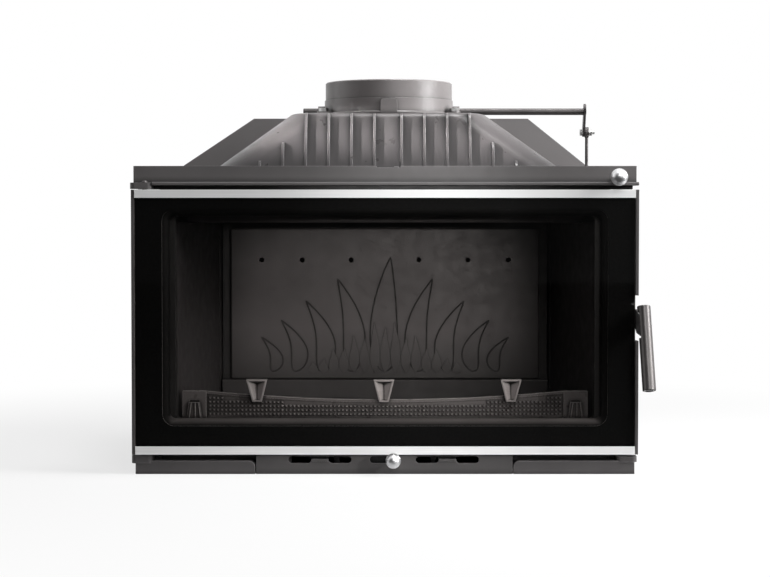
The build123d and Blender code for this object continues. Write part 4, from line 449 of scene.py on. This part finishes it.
for side in (-1, 1):
    for place, height, half, lean in FAN if side > 0 else FAN[1:]:
        outline = fan.splines.new("POLY")
        outline.points.add(2 * FLAME_STEPS - 1)
        for i, point in enumerate(outline.points):
            x, z = flame_point(place, height, half, lean, math.pi * i / FLAME_STEPS)
            point.co = (side * x, lining_low.y + SMALL_RELIEF, z, 1.0)
        outline.use_cyclic_u = True
flame_fan = bpy.data.objects.new("flame_fan", fan)
bpy.context.scene.collection.objects.link(flame_fan)
fan.materials.append(shade_black_iron)
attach(flame_fan, "carcass")


# ---- Log guard -------------------------------------------------------------------------------
# A low bowed casting across the hearth keeps the logs off the glass, with three hollow horns on its
# rim and a foot at each end. Its front is cast with rows of small square studs, which stand on the
# plain band.
# the guard's edges are much lighter, as worn paint and as painted highlight
guard_iron = sand_cast("guard_iron", (0.130, 0.120, 0.121, 1.0), (0.66, 0.63, 0.63, 1.0), rough=0.32,
                       skin=0.0002, ease=0.0010, nook=0.007, shut=0.70)
dress(guard_iron, "log_guard")

BAND_Y, BAND_HALF, BAND_BOW, BAND_THICK = -0.155, 0.269, 0.009, 0.007
RIM_HIGH, RIM_MIDDLE, RIM_END = 0.004, 0.107, 0.1195      # the rim's bead, and its top along the bow
STUD_PITCH, STUD_SIDE, STUD_TOP, STUD_HIGH = 0.0060, 0.0050, 0.0012, 0.0022
STUD_HALF, STUD_SUNK, STUD_CLEAR, FIRST_ROW_UP = 0.2636, 0.0003, 0.0012, 0.0095
first_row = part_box("log_guard")[0].z + FIRST_ROW_UP


def band_front(x):
    """Depth of the guard's bowed front face."""
    return BAND_Y - BAND_BOW * (1 - (x / BAND_HALF) ** 2) - BAND_THICK / 2


def under_rim(x):
    """Height that the studs may reach under the guard's rim."""
    return RIM_MIDDLE - RIM_HIGH + (RIM_END - RIM_MIDDLE) * (x / BAND_HALF) ** 2 - STUD_CLEAR


studs = bmesh.new()
columns = int(2 * STUD_HALF / STUD_PITCH)
for column in range(columns + 1):
    x = -STUD_HALF + column * 2 * STUD_HALF / columns
    z = first_row
    while z + STUD_PITCH / 2 < under_rim(x):
        foot, crown = [[studs.verts.new((x + i * wide / 2, band_front(x) + out, z + j * wide / 2))
                        for i, j in SQUARE]
                       for wide, out in ((STUD_SIDE, STUD_SUNK), (STUD_TOP, -STUD_HIGH))]
        studs.faces.new(crown)
        studs.faces.new(foot[::-1])
        for i in range(4):
            studs.faces.new((foot[i], foot[(i + 1) % 4], crown[(i + 1) % 4], crown[i]))
        z += STUD_PITCH
guard_studs = new_piece("guard_studs", studs, guard_iron)
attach(guard_studs, "guard")

# each horn is a scoop, open in front, with a valley down its middle that deepens towards the rim
HORN_MID, HORN_PITCH, HORN_GAP = -0.0017, 0.1905, 0.0018
HORN_TOP, HORN_FOOT, HORN_TOP_DEEP, HORN_FOOT_DEEP = 0.0155, 0.0070, 0.015, 0.007
HORN_RIM, VALLEY_TOP, VALLEY_FOOT, VALLEY_SHARE = 0.0024, 0.0125, 0.0045, 0.76
horn_low, horn_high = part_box("guard_horns")[0].z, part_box("guard_horns")[1].z
low_share, high_share = HORN_RIM / (horn_high - horn_low), 1 - HORN_RIM / (horn_high - horn_low)
scoops = bmesh.new()


def horn_half(share):
    """Half the horn's width at a share of its height."""
    return HORN_FOOT + (HORN_TOP - HORN_FOOT) * share


def horn_deep(share):
    """Depth of the horn at a share of its height."""
    return HORN_FOOT_DEEP + (HORN_TOP_DEEP - HORN_FOOT_DEEP) * share


def horn_point(middle, half, share, deep):
    """A point of a horn at a share of its height and a depth behind its sloping front."""
    front = band_front(middle) - HORN_GAP - horn_deep(share)
    return scoops.verts.new((middle + half, front + deep, horn_low + (horn_high - horn_low) * share))


inner_low, inner_high = horn_half(low_share) - HORN_RIM, horn_half(high_share) - HORN_RIM
corners = ((-HORN_FOOT, 0), (HORN_FOOT, 0), (HORN_TOP, 1), (-HORN_TOP, 1))
inner_corners = ((-inner_low, low_share), (inner_low, low_share), (inner_high, high_share),
                 (-inner_high, high_share))
for side in (-1, 0, 1):
    x = HORN_MID + side * HORN_PITCH
    rim = [horn_point(x, half, share, 0) for half, share in corners]
    mouth = [horn_point(x, half, share, 0) for half, share in inner_corners]
    rear = [horn_point(x, half, share, horn_deep(share)) for half, share in corners]
    foot = horn_point(x, 0, low_share, VALLEY_FOOT)
    top = horn_point(x, 0, VALLEY_SHARE, VALLEY_TOP)
    for i in range(4):
        j = (i + 1) % 4
        scoops.faces.new((rim[i], rim[j], mouth[j], mouth[i]))
        scoops.faces.new((rim[j], rim[i], rear[i], rear[j]))
    scoops.faces.new(rear[::-1])
    scoops.faces.new((mouth[0], foot, top, mouth[3]))
    scoops.faces.new((foot, mouth[1], mouth[2], top))
    scoops.faces.new((mouth[0], mouth[1], foot))
    # painted shadow: the facet under the rim is near black, as the shade the rim throws
    scoops.faces.new((mouth[2], mouth[3], top)).material_index = 1
bmesh.ops.recalc_face_normals(scoops, faces=list(scoops.faces))
# painted highlight: the horns are a much lighter iron than the guard they are cast with
horn_lit_iron = sand_cast("horn_lit_iron", (0.39, 0.366, 0.368, 1.0), (0.60, 0.57, 0.57, 1.0), rough=0.30,
                      skin=0.0001, nook=0.003)
horn_scoops = new_piece("horn_scoops", scoops, horn_lit_iron, shade_black_iron)
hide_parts("guard_horns")
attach(horn_scoops, "guard")

# a tapered foot with three ribs stands out of each end post
POST_MID, FOOT_TOP_HALF, FOOT_LOW_HALF = 0.287, 0.0083, 0.0120
FOOT_LOW_Z, FOOT_TOP_Z, FOOT_FRONT_Y, FOOT_REAR_Y = 0.0755, 0.1025, -0.1650, -0.1570
RIBS = ((-0.75, -0.6), (0.05, 0.1), (0.75, 0.7))      # left edges, in half widths, low and high
RIB_LOW, RIB_TOP, RIB_OUT = 0.0016, 0.0014, 0.0016
feet = bmesh.new()


def tapered_bar(low_left, low_right, top_left, top_right, front):
    """An upright bar of the foot between two slanting sides."""
    low, top = [[feet.verts.new((x, y, z)) for x, y in ((left, front), (right, front),
                                                        (right, FOOT_REAR_Y), (left, FOOT_REAR_Y))]
                for left, right, z in ((low_left, low_right, FOOT_LOW_Z), (top_left, top_right, FOOT_TOP_Z))]
    feet.faces.new(low[::-1])
    feet.faces.new(top)
    for i in range(4):
        j = (i + 1) % 4
        feet.faces.new((low[i], low[j], top[j], top[i]))


for side in (-1, 1):
    mid = side * POST_MID
    tapered_bar(mid - FOOT_LOW_HALF, mid + FOOT_LOW_HALF, mid - FOOT_TOP_HALF, mid + FOOT_TOP_HALF,
                FOOT_FRONT_Y)
    for low, top in RIBS:
        low_left, top_left = mid + low * FOOT_LOW_HALF, mid + top * FOOT_TOP_HALF
        tapered_bar(low_left, low_left + RIB_LOW, top_left, top_left + RIB_TOP, FOOT_FRONT_Y - RIB_OUT)
guard_feet = new_piece("guard_feet", feet, guard_iron)
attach(guard_feet, "guard")


# ---- Hood and flue collar --------------------------------------------------------------------
# The smoke hood is one thin casting with upright cooling fins front and back, and the collar is
# turned where the pipe slides on. Both are painted; the hood is darkened towards its foot and between
# its fins as painted shade.
HOOD_FOOT_SHADE = (0.040, 0.036, 0.037, 1.0)
FOOT_SHADE_BELOW, FOOT_SHADE_SOFT, BEYOND = 0.526, 0.064, 1.0      # a metre is well beyond the hood
hood_paint = sand_cast("hood_paint", (0.130, 0.118, 0.119, 1.0), (0.56, 0.53, 0.53, 1.0), rough=0.34,
                       skin=0.00016, ease=0.0010, nook=0.026, shut=0.70)
# painted shade: the hood darkens towards its foot
paint_shade(hood_paint, HOOD_FOOT_SHADE, half=BEYOND, low=FOOT_SHADE_BELOW, high=BEYOND, soft=FOOT_SHADE_SOFT, within=False)
dress(hood_paint, "hood")
collar_paint = sand_cast("collar_paint", (0.225, 0.208, 0.207, 1.0), (0.40, 0.385, 0.38, 1.0), rough=0.36,
                         skin=0.00012, ease=0.0007)
dress(collar_paint, "flue_collar")


# ---- Damper and its pull rod -----------------------------------------------------------------
# A cast disc turns on a drawn steel shaft across the collar. A flat crank on the shaft's end and a
# bent rod bring it to a chromed ball above the door. The door's hinge pins are the same steel.
dress(stove_paint, "damper_disc")
drawn_steel = mottled("drawn_steel", (0.065, 0.060, 0.060, 1.0), (0.10, 0.094, 0.093, 1.0),
                      clouds=(120, 3, (0.2, 1, 1)), rough=(0.36, 0.48), patches=(500, 2, (0.1, 1, 1)),
                      skin=(900, 2, (0.1, 1, 1)), depth=0.00005, ease=0.0004, metal=0.6)
dress(drawn_steel, "damper_shaft", "damper_crank", "pull_rod", "hinge_pin_top", "hinge_pin_bottom")
chrome = mottled("chrome", (0.68, 0.68, 0.69, 1.0), (0.76, 0.76, 0.77, 1.0), clouds=(90, 2),
                 rough=(0.33, 0.42), patches=(160, 3), metal=1.0)
dress(chrome, "damper_knob", "air_knob")


# ---- Air inlet -------------------------------------------------------------------------------
# A cast cover with obround slots hangs under the door, painted darker than the carcass as painted
# shade. A slotted steel strip behind it, chemically blackened and near black also as the shade
# behind the slots, slides to open or shut the slots.
cover_paint = sand_cast("cover_paint", (0.057, 0.053, 0.053, 1.0), (0.24, 0.23, 0.23, 1.0), skin=0.0002,
                        ease=0.0007)
dress(cover_paint, "air_cover")
black_oxide_and_shade, tree, shader = new_finish("black_oxide_and_shade", (0.006, 0.006, 0.006, 1.0), 0.55)
tree.links.new(blended(tree, between(tree, grain(tree, 300, 3), 0, 1), (0.005, 0.005, 0.005, 1.0),
                       (0.009, 0.009, 0.009, 1.0)), shader.inputs["Base Color"])
shader.inputs["Specular IOR Level"].default_value = 0.2
dress(black_oxide_and_shade, "air_slider")


# ---- Door frame and its rope seals -----------------------------------------------------------
# The cast door frame is painted. Inside its opening it is painted black as shade, but for a lit band
# along the sill that fades to black above and below. A round glass-fibre rope in a groove seals it
# on the front frame, and a flat one lies between it and the glass.
DOOR_DARK, DOOR_LIGHT = (0.090, 0.084, 0.084, 1.0), (0.115, 0.108, 0.108, 1.0)
DOOR_SHADE_BLACK, DOOR_ROUGH, DOOR_GLOSS = (0.004, 0.0038, 0.0038, 1.0), (0.56, 0.68), 0.12
DOOR_SHADE_HALF, DOOR_SHADE_SOFT, DOOR_SHADE_FROM, DOOR_SHADE_FULL = 0.352, 0.010, 0.0815, 0.0855
SILL_HALF, SILL_SOFT, SILL_FOOT, SILL_TOP = 0.310, 0.012, 0.0725, 0.0795

door_paint, tree, shader = new_finish("door_paint", PAINT_GREY, CAST_ROUGH)
place = position(tree)
aside = reckoned(tree, "ABSOLUTE", place["X"])
below_sill = between(tree, place["Z"], 1, 0, SILL_FOOT, SILL_TOP)
above_sill = between(tree, place["Z"], 0, 1, DOOR_SHADE_FROM, DOOR_SHADE_FULL)
beside_sill = between(tree, aside, 0, 1, SILL_HALF, SILL_HALF + SILL_SOFT)
off_sill = reckoned(tree, "MAXIMUM", reckoned(tree, "MAXIMUM", below_sill, above_sill), beside_sill)
# painted shade: black inside the opening, with a lit band left along the sill
painted_shade = reckoned(tree, "MULTIPLY", between(tree, aside, 1, 0, DOOR_SHADE_HALF, DOOR_SHADE_HALF + DOOR_SHADE_SOFT), off_sill)
cloudy = blended(tree, between(tree, grain(tree, *CLOUDS), 0, 1), DOOR_DARK, DOOR_LIGHT)
tree.links.new(blended(tree, painted_shade, cloudy, DOOR_SHADE_BLACK), shader.inputs["Base Color"])
tree.links.new(between(tree, grain(tree, *PATCHES), *DOOR_ROUGH), shader.inputs["Roughness"])
shader.inputs["Specular IOR Level"].default_value = DOOR_GLOSS
bumped(tree, shader, grain(tree, *SAND), CAST_SKIN, eased_edges(tree, CAST_EASE))
dress(door_paint, "door_frame")

# the rope's strands cross at right angles, about 3 mm apart
STRAND_SCALE, STRAND_WAVER, STRAND_DEEP, STRAND_LEAN = 110.0, 0.6, 0.0006, 45.0
rope, tree, shader = new_finish("fibre_rope", (0.27, 0.265, 0.255, 1.0), 0.92)
shader.inputs["Sheen Weight"].default_value = 0.25
strands = []
for lean in (STRAND_LEAN, -STRAND_LEAN):
    turned = tree.nodes.new("ShaderNodeMapping")
    turned.inputs["Rotation"].default_value = (0.0, math.radians(lean), 0.0)
    tree.links.new(tree.nodes.new("ShaderNodeTexCoord").outputs["Object"], turned.inputs["Vector"])
    strand = tree.nodes.new("ShaderNodeTexWave")
    strand.inputs["Scale"].default_value = STRAND_SCALE
    strand.inputs["Distortion"].default_value = STRAND_WAVER
    tree.links.new(turned.outputs["Vector"], strand.inputs["Vector"])
    strands.append(strand.outputs["Fac"])
braid = reckoned(tree, "MAXIMUM", *strands)
tree.links.new(blended(tree, braid, (0.14, 0.135, 0.13, 1.0), (0.33, 0.32, 0.31, 1.0)),
               shader.inputs["Base Color"])
bumped(tree, shader, braid, STRAND_DEEP)
dress(rope, "glass_gasket", "door_seal")


# ---- Glass and its printed border ------------------------------------------------------------
# The pane is 4 mm ceramic glass, faintly smoky. A black enamel border is fired into its rear face;
# it hides the frame and leaves a clear window with rounded corners.
GLASS_TINT, GLASS_INDEX, GLASS_ROUGH = (0.90, 0.89, 0.88, 1.0), 1.45, (0.015, 0.04)
pane = bpy.data.materials.new("ceramic_glass")
pane.use_nodes = True
tree = pane.node_tree
tree.nodes.remove(tree.nodes["Principled BSDF"])
clear = tree.nodes.new("ShaderNodeBsdfTransparent")
clear.inputs["Color"].default_value = GLASS_TINT
mirror = tree.nodes.new("ShaderNodeBsdfGlossy")
tree.links.new(between(tree, grain(tree, 12, 3), *GLASS_ROUGH), mirror.inputs["Roughness"])
glance = tree.nodes.new("ShaderNodeFresnel")
glance.inputs["IOR"].default_value = GLASS_INDEX
# light mirrors where it enters the pane, and leaves it freely
behind = tree.nodes.new("ShaderNodeNewGeometry").outputs["Backfacing"]
mirrored = reckoned(tree, "MULTIPLY", glance.outputs["Fac"], reckoned(tree, "SUBTRACT", 1.0, behind))
tree.links.new(overlaid(tree, mirrored, clear.outputs["BSDF"], mirror.outputs["BSDF"]),
               tree.nodes["Material Output"].inputs["Surface"])
dress(pane, "door_glass")

PRINT_THICK, PRINT_DEEP, PRINT_SET_IN, PRINT_ROUND = 0.0002, 0.00025, 0.0006, 0.0015
WINDOW_HALF, WINDOW_LOW, WINDOW_HIGH, WINDOW_ROUND = 0.3300, 0.0712, 0.3924, 0.018
CORNER_STEPS = 8
glass_low, glass_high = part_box("door_glass")


def rounded_outline(half, low, high, radius):
    """Corner points of a rounded rectangle, anticlockwise from the lower right."""
    points = []
    for quarter, (side, z) in enumerate(((1, low), (1, high), (-1, high), (-1, low))):
        middle_x = side * (half - radius)
        middle_z = z + radius if z == low else z - radius
        for step in range(CORNER_STEPS + 1):
            turn = math.radians(-90 + 90 * (quarter + step / CORNER_STEPS))
            points.append((middle_x + radius * math.cos(turn), middle_z + radius * math.sin(turn)))
    return points


outer = rounded_outline(glass_high.x - PRINT_SET_IN, glass_low.z + PRINT_SET_IN,
                        glass_high.z - PRINT_SET_IN, PRINT_ROUND)
inner = rounded_outline(WINDOW_HALF, WINDOW_LOW, WINDOW_HIGH, WINDOW_ROUND)
print_y = glass_high.y - PRINT_DEEP
border = bmesh.new()
front_outer, front_inner, rear_outer, rear_inner = [
    [border.verts.new((x, y, z)) for x, z in ring]
    for y in (print_y, print_y + PRINT_THICK) for ring in (outer, inner)]
for i in range(len(outer)):
    j = (i + 1) % len(outer)
    border.faces.new((front_outer[i], front_outer[j], front_inner[j], front_inner[i]))
    border.faces.new((rear_outer[j], rear_outer[i], rear_inner[i], rear_inner[j]))
    border.faces.new((front_outer[j], front_outer[i], rear_outer[i], rear_outer[j]))
    border.faces.new((front_inner[i], front_inner[j], rear_inner[j], rear_inner[i]))
enamel = mottled("fired_enamel", (0.003, 0.003, 0.003, 1.0), (0.006, 0.006, 0.006, 1.0), clouds=(300, 3),
                 rough=(0.44, 0.56), patches=(700, 2))
enamel.node_tree.nodes["Principled BSDF"].inputs["Specular IOR Level"].default_value = 0.03
glass_print = new_piece("glass_print", border, enamel)
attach(glass_print, "door")


# ---- Steel trims -----------------------------------------------------------------------------
# Two folded strips of stainless steel clip the glass along its top and bottom edges. They are
# brushed lengthwise, so fine bright lines run across.
BRUSHED = (1600, 3, (0.004, 1, 1))
trim_steel = mottled("brushed_stainless", (0.82, 0.82, 0.82, 1.0), (0.92, 0.92, 0.92, 1.0), clouds=BRUSHED,
                     rough=(0.70, 0.84), patches=BRUSHED, skin=BRUSHED, depth=0.00006, ease=0.0004,
                     metal=1.0)
tree = trim_steel.node_tree
shader = tree.nodes["Principled BSDF"]
across = tree.nodes.new("ShaderNodeTangent")
across.direction_type = "RADIAL"
across.axis = "X"
tree.links.new(across.outputs["Tangent"], shader.inputs["Tangent"])
shader.inputs["Anisotropic"].default_value = 0.5
dress(trim_steel, "trim_top", "trim_bottom")


# ---- Handle ----------------------------------------------------------------------------------
# The grip is a round steel bar, bored out from below, in satin silver-grey lacquer. A painted cast
# arm carries it clear of the door, so it stays cool.
dress(stove_paint, "handle_arm")
grip_lacquer = mottled("grip_lacquer", (0.10, 0.094, 0.093, 1.0), (0.13, 0.122, 0.120, 1.0),
                       clouds=(25, 3, (1, 1, 0.3)), rough=(0.29, 0.39), patches=(200, 3), skin=(1800, 2),
                       depth=0.00003, ease=0.0005, metal=0.7)
dress(grip_lacquer, "handle_grip")
